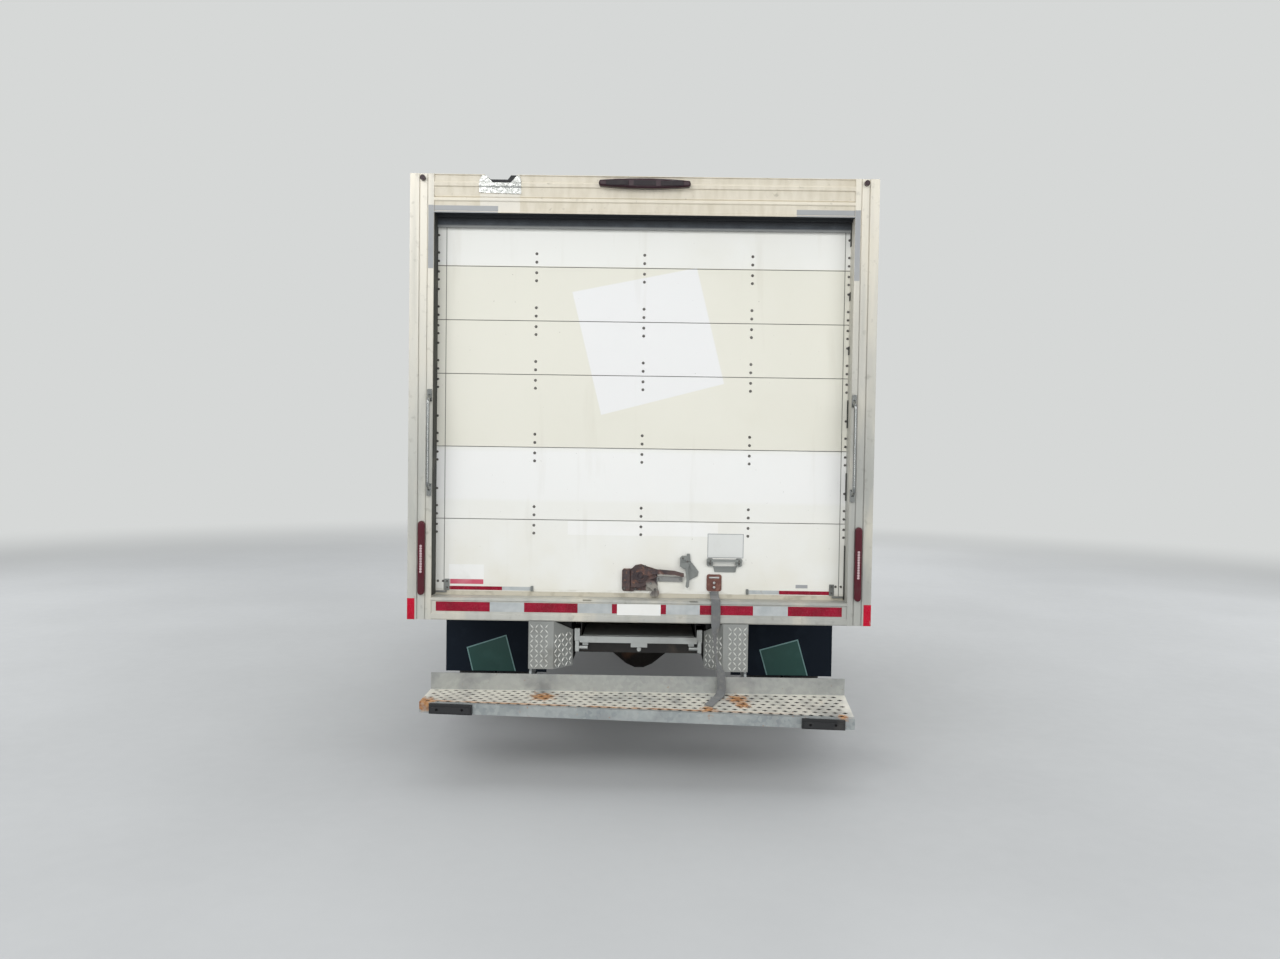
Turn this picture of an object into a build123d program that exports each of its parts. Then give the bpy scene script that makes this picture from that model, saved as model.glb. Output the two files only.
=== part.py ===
# Box truck: a cutaway van cab and chassis with a 3.7 m cargo box, a roll-up rear door and a rear step bumper.
# Millimetres. +Y points forwards, +X to the truck's right and +Z up, with the road at Z = 0.
from build123d import *
import math
import os

os.makedirs("parts", exist_ok=True)

# Running gap between fixed faces that seat on each other, and between shut lines of moving panels.
seat_gap = 0.3
shut_gap = 7
rear_shut_gap = 12

# Lengths along the truck
wheelbase = 4013
rear_overhang = 1600
bumper_reach = 310
front_overhang = 790
box_length = 3700
cab_gap = 60

overall_length = bumper_reach + rear_overhang + wheelbase + front_overhang
rear_face_y = bumper_reach - overall_length / 2
rear_axle_y = rear_face_y + rear_overhang
front_axle_y = rear_axle_y + wheelbase
box_front_y = rear_face_y + box_length
cab_back_y = box_front_y + cab_gap
front_bumper_y = overall_length / 2

# Cargo box
box_width = 2440
box_top_z = 3130
sill_bottom_z = 800
sill_top_z = 918
floor_top_z = 920
floor_thickness = 32
wall_thickness = 38
corner_radius = 150
top_rail_height = 80
top_rail_radius = 45
bottom_rail_height = 125
roof_thickness = 25
roof_drop = 12
crossmember_pitch = 405
crossmember_width = 50
crossmember_web = 8
longsill_x = 395
longsill_width = 60

# Rear frame of the box and its roll-up door
post_width = 125
post_depth = 100
groove_width = 6
groove_depth = 8
header_height = 200
door_thickness = 19
door_lap = 17
# Depth of the sill's step that the shut door's bottom rubber stands on.
door_landing = 25
panel_gap = 2
large_panel_height = 387
small_panel_height = 285
door_bottom_z = 942

# Chassis
rail_top_z = 700
rail_height = 165
rail_drop = 100
rail_outer_x = 432
rail_flange = 70
rail_gauge = 7
axle_z = 372
front_wheel_x = 860
rear_wheel_x = 960
dual_spacing = 250
kingpin_x = 740
kingpin_radius = 15
kingpin_clearance = 0.05

# Engine and gearbox
engine_front_y = front_axle_y + 480
engine_back_y = front_axle_y - 230
gearbox_back_y = front_axle_y - 1000
gearbox_exit_z = 500

# Tyres and rims
tyre_radius = 372
tyre_half_width = 111
rim_radius = 203
rim_half_width = 76
rim_gauge = 9
rim_fit = 0.3

# Cab
cab_half_width = 1000
cab_wall = 45
roof_z = 2125
cowl_back = 250
cowl_z = 1395
header_back = 880
header_z = 2085
nose_reach = 700
nose_z = 1130
rocker_z = 430
cab_floor_z = 680
firewall_back = 330
arch_radius = 455
arch_inner_x = 500
door_front_back = 520
door_rear_back = 1500
door_bottom = 475
door_top = 1985
belt_z = 1345


def write(piece, name):
    """Labels a finished piece and writes it to its own file."""
    piece.part.label = name
    export_step(piece.part, f"parts/{name}.step")


def side_outline(points, corner=0):
    """A face in the YZ plane from (y behind the front axle, z) points, with every corner rounded."""
    with BuildSketch(Plane.YZ) as outline:
        with BuildLine():
            Polyline(*[(front_axle_y - back, z) for back, z in points], close=True)
        make_face()
        if corner:
            fillet(outline.vertices(), corner)
    return outline.sketch


# Wheels: one tyre section and one rim section, turned about each wheel's axle.

def wheel_plane(x, y):
    """The upright plane through the axle at a wheel's centre, with its Y along +Z."""
    return Plane(origin=(x, y, axle_z), x_dir=(1, 0, 0), z_dir=(0, -1, 0))


def add_tyre(x, y):
    """One tyre with rounded sidewalls and a nearly flat crown."""
    bead = rim_half_width - rim_fit
    # columns: distance from the tyre's middle, radius
    half_section = [(bead, rim_radius), (bead, rim_radius + 14), (92, 224), (109, 262), (tyre_half_width, 292),
                    (107, 326), (96, 358), (84, 368), (66, tyre_radius)]
    other_half = [(-across, radius) for across, radius in reversed(half_section)]
    with BuildSketch(wheel_plane(x, y)) as section:
        with BuildLine():
            Polyline(*half_section, *other_half, close=True)
        make_face()
    revolve(section.sketch, axis=Axis((x, y, axle_z), (1, 0, 0)))


def rim_section(dish, bulge, join):
    """Section points of one rim as (across, radius), its disc joining the barrel at join."""
    barrel = rim_radius - rim_fit
    inner = barrel - rim_gauge
    flange = rim_radius + 13
    edge = rim_half_width + 8
    return [(-edge, flange), (-rim_half_width, flange), (-rim_half_width, barrel), (rim_half_width, barrel),
            (rim_half_width, flange), (edge, flange), (edge, inner), (join + 14, inner), (bulge + 12, 150),
            (dish + 12, 110), (dish + 12, 62), (dish, 62), (dish, 104), (bulge, 142), (join - 4, inner),
            (-edge, inner)]


def add_rim(x, y, side, dish, bulge, join):
    """One pressed steel rim with its barrel, disc and hub hole, facing outwards to side."""
    with BuildSketch(wheel_plane(x, y)) as section:
        with BuildLine():
            Polyline(*[(side * across, radius) for across, radius in rim_section(dish, bulge, join)], close=True)
        make_face()
    revolve(section.sketch, axis=Axis((x, y, axle_z), (1, 0, 0)))


def add_turned(x, y, side, points):
    """A turned piece about the axle from (distance outwards from x, radius) points."""
    with BuildSketch(wheel_plane(x, y)) as section:
        with BuildLine():
            Polyline(*[(side * across, radius) for across, radius in points], close=True)
        make_face()
    revolve(section.sketch, axis=Axis((x, y, axle_z), (1, 0, 0)))


def cut_hand_holes(x, y, count=8, ring=126, radius=17):
    """Round hand holes through the disc or discs of a wheel."""
    plane = Plane(origin=(x, y, axle_z), x_dir=(0, 1, 0), z_dir=(1, 0, 0))
    with BuildSketch(plane) as holes:
        with PolarLocations(ring, count, start_angle=180 / count):
            Circle(radius)
    extrude(holes.sketch, amount=300, both=True, mode=Mode.SUBTRACT)


spindle_radius = 24
axle_tube_radius = 42
drum_radius = 168
for side, name in ((-1, "left"), (1, "right")):
    with BuildPart() as tyre:
        add_tyre(side * front_wheel_x, front_axle_y)
    write(tyre, f"front_tyre_{name}")

    with BuildPart() as rim:
        add_rim(side * front_wheel_x, front_axle_y, side, 22, 42, 22)
        # hub with its dust cap, and the brake disc behind it
        hub = [(-56, spindle_radius + seat_gap), (-56, 60), (-52, 60), (-52, 160), (-28, 160), (-28, 66), (60, 66),
               (62, 48), (96, 42), (100, 0), (50, 0), (50, spindle_radius + seat_gap)]
        add_turned(side * front_wheel_x, front_axle_y, side, hub)
        cut_hand_holes(side * (front_wheel_x + 130), front_axle_y)
    write(rim, f"front_rim_{name}")

    inner_x = rear_wheel_x - dual_spacing / 2
    outer_x = rear_wheel_x + dual_spacing / 2
    with BuildPart() as tyres:
        add_tyre(side * inner_x, rear_axle_y)
        add_tyre(side * outer_x, rear_axle_y)
    write(tyres, f"rear_tyres_{name}")

    with BuildPart() as rims:
        # The two discs meet back to back at the middle, so the outer rim is deeply dished.
        dish = dual_spacing / 2 - 12
        add_rim(side * inner_x, rear_axle_y, side, dish, 88, 50)
        add_rim(side * outer_x, rear_axle_y, -side, dish, 88, 50)
        drum = [(-120, axle_tube_radius + seat_gap), (-120, drum_radius), (-104, drum_radius), (-104, drum_radius - 14),
                (-14, drum_radius - 14), (-14, 84), (30, 80), (34, 64), (92, 58), (96, 0), (30, 0),
                (30, axle_tube_radius + seat_gap)]
        add_turned(side * rear_wheel_x, rear_axle_y, side, drum)
        cut_hand_holes(side * (rear_wheel_x + 300), rear_axle_y)
    write(rims, f"rear_rims_{name}")


# Front axle: a dropped beam with kingpin eyes, coil springs and the brackets that take them on the rails.
beam_drop = 70
beam_height = 62
beam_depth = 56
eye_half_height = 38
eye_radius = 32
spring_x = 560
spring_radius = 60
with BuildPart() as front_axle:
    low = axle_z - beam_drop
    half = beam_height / 2
    with BuildSketch(Plane.XZ.offset(-front_axle_y)):
        with BuildLine():
            Polyline((-kingpin_x, axle_z + half), (-kingpin_x, axle_z - half), (-spring_x - 60, axle_z - half),
                     (-360, low - half), (360, low - half), (spring_x + 60, axle_z - half), (kingpin_x, axle_z - half),
                     (kingpin_x, axle_z + half), (spring_x - 70, axle_z + half), (340, low + half),
                     (-340, low + half), (70 - spring_x, axle_z + half), close=True)
        make_face()
    extrude(amount=beam_depth / 2, both=True)
    for side in (-1, 1):
        with Locations((side * kingpin_x, front_axle_y, axle_z)):
            Cylinder(eye_radius, 2 * eye_half_height)
            Cylinder(kingpin_radius + kingpin_clearance, 4 * eye_half_height, mode=Mode.SUBTRACT)
    # springs as turned stacks of coils between the beam and the rail brackets
    spring_low = axle_z + half
    spring_high = rail_top_z - rail_drop
    coils = 7
    pitch = (spring_high - spring_low) / coils
    profile = [(0, spring_low)]
    for turn in range(coils):
        base = spring_low + turn * pitch
        profile += [(spring_radius - 22, base), (spring_radius, base + pitch * 0.2),
                    (spring_radius, base + pitch * 0.55), (spring_radius - 22, base + pitch * 0.75)]
    profile += [(spring_radius - 22, spring_high), (0, spring_high)]
    for side in (-1, 1):
        with BuildSketch(Plane(origin=(side * spring_x, front_axle_y, 0), x_dir=(1, 0, 0), z_dir=(0, -1, 0))):
            with BuildLine():
                Polyline(*profile, close=True)
            make_face()
        revolve(axis=Axis((side * spring_x, front_axle_y, 0), (0, 0, 1)))
        with Locations((side * (rail_outer_x + spring_x) / 2, front_axle_y, spring_high + 10)):
            Box(spring_x - rail_outer_x + 140, 150, 20)
write(front_axle, "front_axle")

for side, name in ((-1, "left"), (1, "right")):
    with BuildPart() as knuckle:
        # yoke above and below the eye, on its kingpin, with the spindle and the steering arm
        yoke_gap = 5
        ear = 26
        with Locations((side * kingpin_x, front_axle_y, axle_z)):
            Cylinder(kingpin_radius, 2 * (eye_half_height + yoke_gap + ear))
        for up in (-1, 1):
            with Locations((side * (kingpin_x + 12), front_axle_y, axle_z + up * (eye_half_height + yoke_gap + ear / 2))):
                Box(76, 64, ear)
        with Locations((side * (kingpin_x + 48), front_axle_y, axle_z)):
            Box(20, 64, 2 * (eye_half_height + yoke_gap + ear))
        with Locations(Location((side * (kingpin_x + 100), front_axle_y, axle_z), (0, 90, 0))):
            Cylinder(spindle_radius, 120)
        with Locations((side * (kingpin_x + 8), front_axle_y - 110, axle_z - eye_half_height - yoke_gap - ear / 2)):
            Box(34, 180, 22)
    write(knuckle, f"knuckle_{name}")

# Rear axle: tube, differential, spring pads and brake backing plates.
rear_spring_x = 530
diff_radius = 165
shaft_radius = 42
with BuildPart() as rear_axle:
    with Locations(Location((0, rear_axle_y, axle_z), (0, 90, 0))):
        Cylinder(axle_tube_radius, 2 * (rear_wheel_x + 20))
    with BuildSketch(Plane(origin=(0, rear_axle_y, axle_z), x_dir=(1, 0, 0), z_dir=(0, -1, 0))):
        with BuildLine():
            Polyline((-190, 0), (-190, 60), (-90, 140), (-30, diff_radius), (30, diff_radius), (90, 140), (190, 60),
                     (190, 0), close=True)
        make_face()
    revolve(axis=Axis((0, rear_axle_y, axle_z), (1, 0, 0)))
    with Locations(Location((0, rear_axle_y + 170, axle_z), (90, 0, 0))):
        Cone(90, 52, 180)
    for side in (-1, 1):
        with Locations((side * rear_spring_x, rear_axle_y, axle_z + axle_tube_radius)):
            Box(80, 130, 26)
        with Locations(Location((side * (rear_wheel_x - 140), rear_axle_y, axle_z), (0, 90, 0))):
            Cylinder(drum_radius - 4, 10)
    # driveshaft, from the gearbox down to the differential's nose
    run = Vector(0, rear_axle_y + 255 - gearbox_back_y + seat_gap, axle_z - gearbox_exit_z)
    with BuildSketch(Plane.XZ.offset(seat_gap - gearbox_back_y)) as shaft_end:
        with Locations((0, gearbox_exit_z)):
            Circle(shaft_radius)
    extrude(shaft_end.sketch, amount=run.length, dir=run.normalized())
write(rear_axle, "rear_axle")

# Rear leaf springs, as arcs of leaves with eyes and hangers on the rails.
spring_half_length = 700
leaf_thickness = 42
leaf_width = 70
with BuildPart() as rear_springs:
    seat_z = axle_z + axle_tube_radius + 13 + leaf_thickness / 2
    eye_z = seat_z + 95
    with BuildSketch(Plane.YZ.offset(rear_spring_x - leaf_width / 2)):
        with BuildLine():
            top = leaf_thickness / 2
            ThreePointArc((rear_axle_y - spring_half_length, eye_z + 8), (rear_axle_y, seat_z + top),
                          (rear_axle_y + spring_half_length, eye_z + 8))
            Line((rear_axle_y + spring_half_length, eye_z + 8), (rear_axle_y + spring_half_length, eye_z - 8))
            ThreePointArc((rear_axle_y + spring_half_length, eye_z - 8), (rear_axle_y, seat_z - top),
                          (rear_axle_y - spring_half_length, eye_z - 8))
            Line((rear_axle_y - spring_half_length, eye_z - 8), (rear_axle_y - spring_half_length, eye_z + 8))
        make_face()
    extrude(amount=leaf_width)
    for end in (-1, 1):
        with Locations(Location((rear_spring_x, rear_axle_y + end * spring_half_length, eye_z), (0, 90, 0))):
            Cylinder(26, leaf_width)
        hanger_high = rail_top_z - 20
        hanger_width = rear_spring_x + leaf_width / 2 - rail_outer_x
        with Locations((rail_outer_x + hanger_width / 2, rear_axle_y + end * spring_half_length,
                        (hanger_high + eye_z) / 2)):
            Box(hanger_width, 60, hanger_high - eye_z)
    mirror(about=Plane.YZ)
write(rear_springs, "rear_springs")


# Frame rails: channels with a step down under the cab, and the crossmembers between them.
rail_rear_y = rear_face_y + 160
rail_front_y = front_axle_y + 640
step_start_y = cab_back_y + 120
step_end_y = cab_back_y - 260


def rail_outline(inset):
    """The rail's side outline, drawn in by inset above and below."""
    high = rail_top_z - inset
    low = rail_top_z - rail_height + inset
    with BuildSketch(Plane.YZ) as outline:
        with BuildLine():
            Polyline((rail_rear_y, high), (step_end_y, high), (step_start_y, high - rail_drop),
                     (rail_front_y, high - rail_drop), (rail_front_y, low - rail_drop),
                     (step_start_y, low - rail_drop), (step_end_y, low), (rail_rear_y, low), close=True)
        make_face()
    return outline.sketch


for side, name in ((-1, "left"), (1, "right")):
    with BuildPart() as rail:
        add(Pos(side * (rail_outer_x - rail_flange / 2), 0, 0) * extrude(rail_outline(0), rail_flange / 2, both=True,
                                                                      dir=(1, 0, 0), mode=Mode.PRIVATE))
        add(Pos(side * (rail_outer_x - rail_gauge - rail_flange / 2), 0, 0)
            * extrude(rail_outline(rail_gauge), rail_flange / 2, both=True, dir=(1, 0, 0), mode=Mode.PRIVATE),
            mode=Mode.SUBTRACT)
    write(rail, f"frame_rail_{name}")

with BuildPart() as frame_crossmembers:
    # columns: distance forward of the rear face, height of the tube's centre
    for forward, centre_z in ((330, 610), (1180, 610), (2050, 610), (3000, 610), (3950, 560), (6173, 520)):
        with Locations((0, rear_face_y + forward, centre_z)):
            Box(2 * (rail_outer_x - rail_gauge) - 2 * seat_gap, 70, 60)
    # cab mounts on top of the rails
    mount_height = cab_floor_z - cab_wall - rail_top_z + rail_drop
    for side in (-1, 1):
        for back in (700, 1650):
            with Locations((side * (rail_outer_x - 35), front_axle_y - back, rail_top_z - rail_drop + mount_height / 2)):
                Cylinder(32, mount_height - 2 * seat_gap)
write(frame_crossmembers, "frame_crossmembers")

# Engine and gearbox as one block.
with BuildPart() as engine:
    with BuildSketch(Plane.YZ) as block_outline:
        with BuildLine():
            Polyline((engine_front_y, 1010), (engine_back_y, 1010), (engine_back_y, 620), (gearbox_back_y, 560),
                     (gearbox_back_y, 440), (engine_back_y, 410), (engine_front_y, 430), close=True)
        make_face()
    extrude(amount=310, both=True)
    for side in (-1, 1):
        with Locations((side * 265, (engine_back_y + gearbox_back_y) / 2, 600)):
            Box(290, engine_back_y - gearbox_back_y + 10, 420, mode=Mode.SUBTRACT)
write(engine, "engine")

# Fuel tank on the left rail, and the exhaust along the right one.
tank_length = 1000
with BuildPart() as fuel_tank:
    tank_y = cab_back_y - 150 - tank_length / 2
    with Locations((-(rail_outer_x + 250), tank_y, 560)):
        Box(480, tank_length, 260)
    fillet(fuel_tank.edges().filter_by(Axis.Y), 60)
    fillet(fuel_tank.edges().group_by(Axis.Y)[0] + fuel_tank.edges().group_by(Axis.Y)[-1], 20)
    for along in (-300, 300):
        with Locations((-(rail_outer_x + 8), tank_y + along, 570)):
            Box(16 - 2 * seat_gap, 50, 180)
write(fuel_tank, "fuel_tank")

pipe_radius = 32
with BuildPart() as exhaust:
    muffler_y = cab_back_y - 650
    with BuildLine() as pipe_line:
        FilletPolyline((rail_outer_x + 120, muffler_y + 1250, 470), (rail_outer_x + 120, muffler_y - 700, 470),
                       (1090, muffler_y - 950, 470), radius=180)
    with BuildSketch(Plane(origin=pipe_line.line @ 0, z_dir=pipe_line.line % 0)):
        Circle(pipe_radius)
    sweep(path=pipe_line.line)
    with BuildSketch(Plane.XZ.offset(-(muffler_y + 350))):
        with Locations((rail_outer_x + 150, 480)):
            Ellipse(140, 95)
    extrude(amount=700)
    for along in (-260, 260):
        with Locations((rail_outer_x + 60, muffler_y + along, 600)):
            Box(120 - 2 * seat_gap, 40, 70)
write(exhaust, "exhaust")


# Cargo box
half_box = box_width / 2
inner_x = half_box - wall_thickness
post_inner_x = half_box - post_width
rear_wall_y = rear_face_y + post_depth

crossmember_high = floor_top_z - floor_thickness
crossmember_count = int((box_length - post_depth - 100) // crossmember_pitch) + 1
wall_low_z = sill_bottom_z + bottom_rail_height
wall_high_z = box_top_z - top_rail_height
side_length = box_front_y - corner_radius - rear_wall_y
with BuildPart() as box_sides:
    for side in (-1, 1):
        with Locations((side * (half_box - wall_thickness / 2), rear_wall_y + side_length / 2,
                        (wall_low_z + wall_high_z) / 2)):
            Box(wall_thickness, side_length, wall_high_z - wall_low_z)
write(box_sides, "box_sides")


def corner_plan(outer_x, front_y, radius, back_y):
    """A plan outline with its two front corners rounded, from back_y to front_y."""
    with BuildSketch() as outline:
        with Locations((0, (front_y + back_y) / 2)):
            Rectangle(2 * outer_x, front_y - back_y)
        fillet(outline.vertices().group_by(Axis.Y)[-1], radius)
    return outline.sketch


with BuildPart() as box_floor:
    with BuildSketch(Plane.XY.offset(floor_top_z - floor_thickness)):
        add(corner_plan(inner_x, box_front_y - wall_thickness, corner_radius - wall_thickness, rear_wall_y))
        # notch for the sill's step under the door
        with Locations((0, rear_wall_y + door_landing / 2)):
            Rectangle(2 * post_inner_x, door_landing, mode=Mode.SUBTRACT)
    extrude(amount=floor_thickness)
write(box_floor, "box_floor")

with BuildPart() as box_front:
    with BuildSketch(Plane.XY.offset(sill_bottom_z)):
        add(corner_plan(half_box, box_front_y, corner_radius, box_front_y - corner_radius))
        add(corner_plan(inner_x, box_front_y - wall_thickness, corner_radius - wall_thickness,
                        box_front_y - corner_radius), mode=Mode.SUBTRACT)
    extrude(amount=wall_high_z - sill_bottom_z)
write(box_front, "box_front")

with BuildPart() as box_top_rail:
    rail_inner_x = half_box - 70
    with BuildSketch(Plane.XY.offset(wall_high_z)):
        add(corner_plan(half_box, box_front_y, corner_radius, rear_wall_y))
        add(corner_plan(rail_inner_x, box_front_y - 70, corner_radius - 70, rear_wall_y), mode=Mode.SUBTRACT)
    extrude(amount=top_rail_height)
    outer_top = [edge for edge in box_top_rail.edges().group_by(Axis.Z)[-1]
                 if abs(edge.center().X) > rail_inner_x + 1 or edge.center().Y > box_front_y - 69]
    fillet([edge for edge in outer_top if edge.center().Y > rear_wall_y + 1], top_rail_radius)

with BuildPart() as box_roof:
    with BuildSketch(Plane.XY.offset(box_top_z - roof_drop - roof_thickness)):
        add(corner_plan(rail_inner_x, box_front_y - 70, corner_radius - 70, rear_wall_y))
    extrude(amount=roof_thickness)
write(box_roof, "box_roof")

with BuildPart() as box_bottom_rails:
    with BuildSketch(Plane.XZ.offset(-rear_wall_y)):
        with BuildLine():
            Polyline((inner_x, sill_bottom_z), (half_box, sill_bottom_z), (half_box, sill_bottom_z + 34),
                     (half_box - 6, sill_bottom_z + 40), (half_box - 6, wall_low_z - 26), (half_box, wall_low_z - 20),
                     (half_box, wall_low_z), (inner_x, wall_low_z), close=True)
        make_face()
    extrude(amount=-side_length)
    mirror(about=Plane.YZ)
    add(box_top_rail.part)
write(box_bottom_rails, "box_rails")


# Rear frame: grooved posts, a ribbed header and a ribbed sill.
def depth_profile(points, plane, length):
    """Extrudes a closed outline by length from plane."""
    with BuildSketch(plane) as outline:
        with BuildLine():
            Polyline(*points, close=True)
        make_face()
    extrude(outline.sketch, amount=length)


with BuildPart() as rear_posts:
    # columns: distance in from the box's side, depth of the face behind the rear face
    land_edges = [(0, 0), (48, 0), (48, groove_depth), (48 + groove_width, groove_depth), (48 + groove_width, 3),
                  (90, 3), (90, groove_depth), (90 + groove_width, groove_depth), (90 + groove_width, 0),
                  (post_width, 0), (post_width, post_depth), (0, post_depth)]
    plan = [(half_box - inward, rear_face_y + depth) for inward, depth in land_edges]
    depth_profile(plan, Plane.XY.offset(sill_bottom_z), box_top_z - sill_bottom_z)
    mirror(about=Plane.YZ)
write(rear_posts, "rear_posts")

tear_depth = 18
with BuildPart() as rear_header:
    # columns: distance down from the box's top, depth of the face behind the rear face
    header_faces = [(0, 4), (4, 0), (6, 7), (36, 7), (44, 0), (62, 0), (66, 7), (114, 7), (118, 12), (122, 0), (136, 0),
                    (142, 7), (190, 7), (194, 0), (header_height, 0), (header_height, 60), (0, 60)]
    section = [(rear_face_y + depth, box_top_z - down) for down, depth in header_faces]
    depth_profile(section, Plane.YZ.offset(-post_inner_x), 2 * post_inner_x)
    # the crushed place in the top rib, left of the middle: the rim is pressed down, and the rib below it torn open
    # columns: place across the truck, distance down from the box's top
    crushed_rim = [(-836, -1), (-803, 22), (-714, 22), (-697, -1)]
    torn_mouth = [(-831, -1), (-789, 43), (-698, 43), (-662, -1)]
    for outline, depth in ((crushed_rim, 70), (torn_mouth, tear_depth)):
        with BuildSketch(Plane.XZ.offset(-rear_face_y + 1)):
            with BuildLine():
                Polyline(*[(x, box_top_z - down) for x, down in outline], close=True)
            make_face()
        extrude(amount=-depth - 1, mode=Mode.SUBTRACT)
write(rear_header, "rear_header")

with BuildPart() as rear_sill:
    # columns: height above the sill's bottom, depth of the face behind the rear face
    sill_height = sill_top_z - sill_bottom_z
    sill_faces = [(0, 4), (6, 0), (30, 0), (36, 6), (100, 6), (104, 0), (sill_height - 4, 0), (sill_height, 8),
                  (sill_height, post_depth + door_landing - seat_gap),
                  (sill_height - floor_thickness, post_depth + door_landing - seat_gap),
                  (sill_height - floor_thickness, post_depth), (0, post_depth)]
    section = [(rear_face_y + depth, sill_bottom_z + up) for up, depth in sill_faces]
    depth_profile(section, Plane.YZ.offset(-post_inner_x), 2 * post_inner_x)
    # drain slots in the rear edge
    for x in (-272, 290):
        with Locations((x, rear_face_y, sill_top_z - 4)):
            Box(44, 36, 6, mode=Mode.SUBTRACT)
write(rear_sill, "rear_sill")

# Roll-up door: three large panels below three small ones, shut behind the posts.
door_face_y = rear_wall_y + seat_gap
door_half_width = post_inner_x + door_lap
panel_heights = [large_panel_height] * 3 + [small_panel_height] * 3
with BuildPart() as roll_up_door:
    low = door_bottom_z
    for height in panel_heights:
        with Locations((0, door_face_y + door_thickness / 2, low + (height - panel_gap) / 2)):
            Box(2 * door_half_width, door_thickness, height - panel_gap)
        low += height
    # the trim line a hand's width in from each end of the panels, which hang a little to the right
    for trim_x in (-1047, 1068):
        with Locations((trim_x, door_face_y, (door_bottom_z + low) / 2)):
            Box(3, 4, low, mode=Mode.SUBTRACT)
write(roll_up_door, "roll_up_door")

with BuildPart() as door_seals:
    # bottom rubber under the lowest panel, and the flap that hangs from the header
    with Locations((0, door_face_y + door_thickness / 2, (sill_top_z + door_bottom_z) / 2)):
        Box(2 * post_inner_x - 2 * seat_gap, door_thickness, door_bottom_z - sill_top_z - 2 * seat_gap)
    header_low_z = box_top_z - header_height
    with Locations((0, rear_face_y + 76, header_low_z + 20)):
        Box(2 * post_inner_x - 2 * seat_gap, 32 - 2 * seat_gap, 60)
    with Locations((0, rear_face_y + 84, header_low_z - 34)):
        Box(2 * post_inner_x - 2 * seat_gap, 10, 50)
write(door_seals, "door_seals")

# Latch on the bottom panel: base plate, hub, long lever, claw and the keeper that holds the lever.
latch_face_y = door_face_y - seat_gap


def plate(points, back_y, thickness, mode=Mode.ADD):
    """A flat plate in the XZ plane from an outline, standing thickness behind the truck from back_y."""
    with BuildSketch(Plane.XZ.offset(-back_y)) as outline:
        with BuildLine():
            Polyline(*points, close=True)
        make_face()
    extrude(outline.sketch, amount=thickness, mode=mode)


with BuildPart() as door_latch:
    # base plate with folded-up edge, and the raised housing on it
    plate([(-86, 954), (-92, 966), (-92, 1064), (-82, 1074), (-40, 1074), (-22, 1092), (9, 1099), (46, 1086),
           (97, 1071), (99, 957), (-24, 957), (-34, 952)], latch_face_y, 7)
    plate([(-88, 962), (-88, 1060), (-80, 1070), (-56, 1070), (-50, 1058), (-50, 966), (-56, 958)], latch_face_y - 7, 14)
    plate([(-44, 976), (-44, 1064), (-20, 1084), (9, 1090), (40, 1078), (90, 1064), (90, 1030), (52, 1014), (34, 988),
           (-2, 974)], latch_face_y - 7, 13)
    # hub, its collar and the pin's peened end
    for radius, start, length in ((34, 20, 12), (24, 32, 8), (9, 40, 6)):
        with Locations(Location((7, latch_face_y - start - length / 2, 1040), (90, 0, 0))):
            Cylinder(radius, length)
    with Locations(Location((7, latch_face_y - 38, 1040), (90, 0, 0))):
        Cylinder(18, 5, mode=Mode.SUBTRACT)
        Cylinder(9, 8)
    # lever, bent down a little past its middle, and the flat link under it
    plate([(20, 1076), (78, 1076), (188, 1068), (238, 1054), (238, 1035), (190, 1046), (79, 1049), (24, 1030)],
          latch_face_y - 22, 11)
    plate([(92, 1034), (232, 1032), (232, 1006), (92, 1008)], latch_face_y, 9)
    with Locations(Location((112, latch_face_y - 11, 1021), (90, 0, 0))):
        Cylinder(9, 8)
    # claw that reaches down to the sill
    plate([(38, 1002), (56, 1016), (80, 1012), (94, 990), (108, 950), (103, 928), (62, 928), (58, 938), (72, 958),
           (58, 974), (42, 980)], latch_face_y - 7, 16)

with BuildPart() as lever_keeper:
    # jaw with the slot that the lever drops into, the wing behind it and the tab above
    plate([(216, 1092), (217, 1136), (229, 1147), (253, 1147), (268, 1110), (258, 1070), (240, 1078)], latch_face_y, 24)
    plate([(224, 1112), (224, 1128), (246, 1128), (250, 1112)], latch_face_y - 16, 12, Mode.SUBTRACT)
    plate([(250, 1120), (253, 1158), (270, 1158), (274, 1116)], latch_face_y, 12)
    plate([(256, 1112), (274, 1118), (298, 1090), (318, 1062), (312, 1038), (284, 1024), (262, 1012), (256, 1066)],
          latch_face_y, 6)
    plate([(264, 1096), (276, 1100), (300, 1068), (296, 1058)], latch_face_y - 6, 8)
    # hanging locking pin
    plate([(244, 1080), (258, 1080), (268, 1020), (266, 984), (256, 976), (248, 984), (252, 1020)],
          latch_face_y - 24, 7)

with BuildPart() as pull_handle:
    for end in (361, 515):
        with BuildSketch(Plane.XZ.offset(-latch_face_y)) as lug:
            with Locations((end + 16, 1115)):
                RectangleRounded(34, 42, 8)
        extrude(lug.sketch, amount=12)
        with Locations(Location((end + 16, latch_face_y - 14, 1104), (90, 0, 0))):
            Cylinder(6, 4)
    with Locations((454, latch_face_y - 24, 1126)):
        Box(188, 10, 13)
    for end in (365, 543):
        with Locations((end, latch_face_y - 16, 1126)):
            Box(10, 26, 13)
    plate([(394, 1094), (521, 1094), (514, 1062), (402, 1062)], latch_face_y, 5)
    plate([(394, 1094), (521, 1094), (520, 1088), (395, 1088)], latch_face_y - 5, 8)
    add(lever_keeper.part)
write(pull_handle, "door_hardware")

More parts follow.
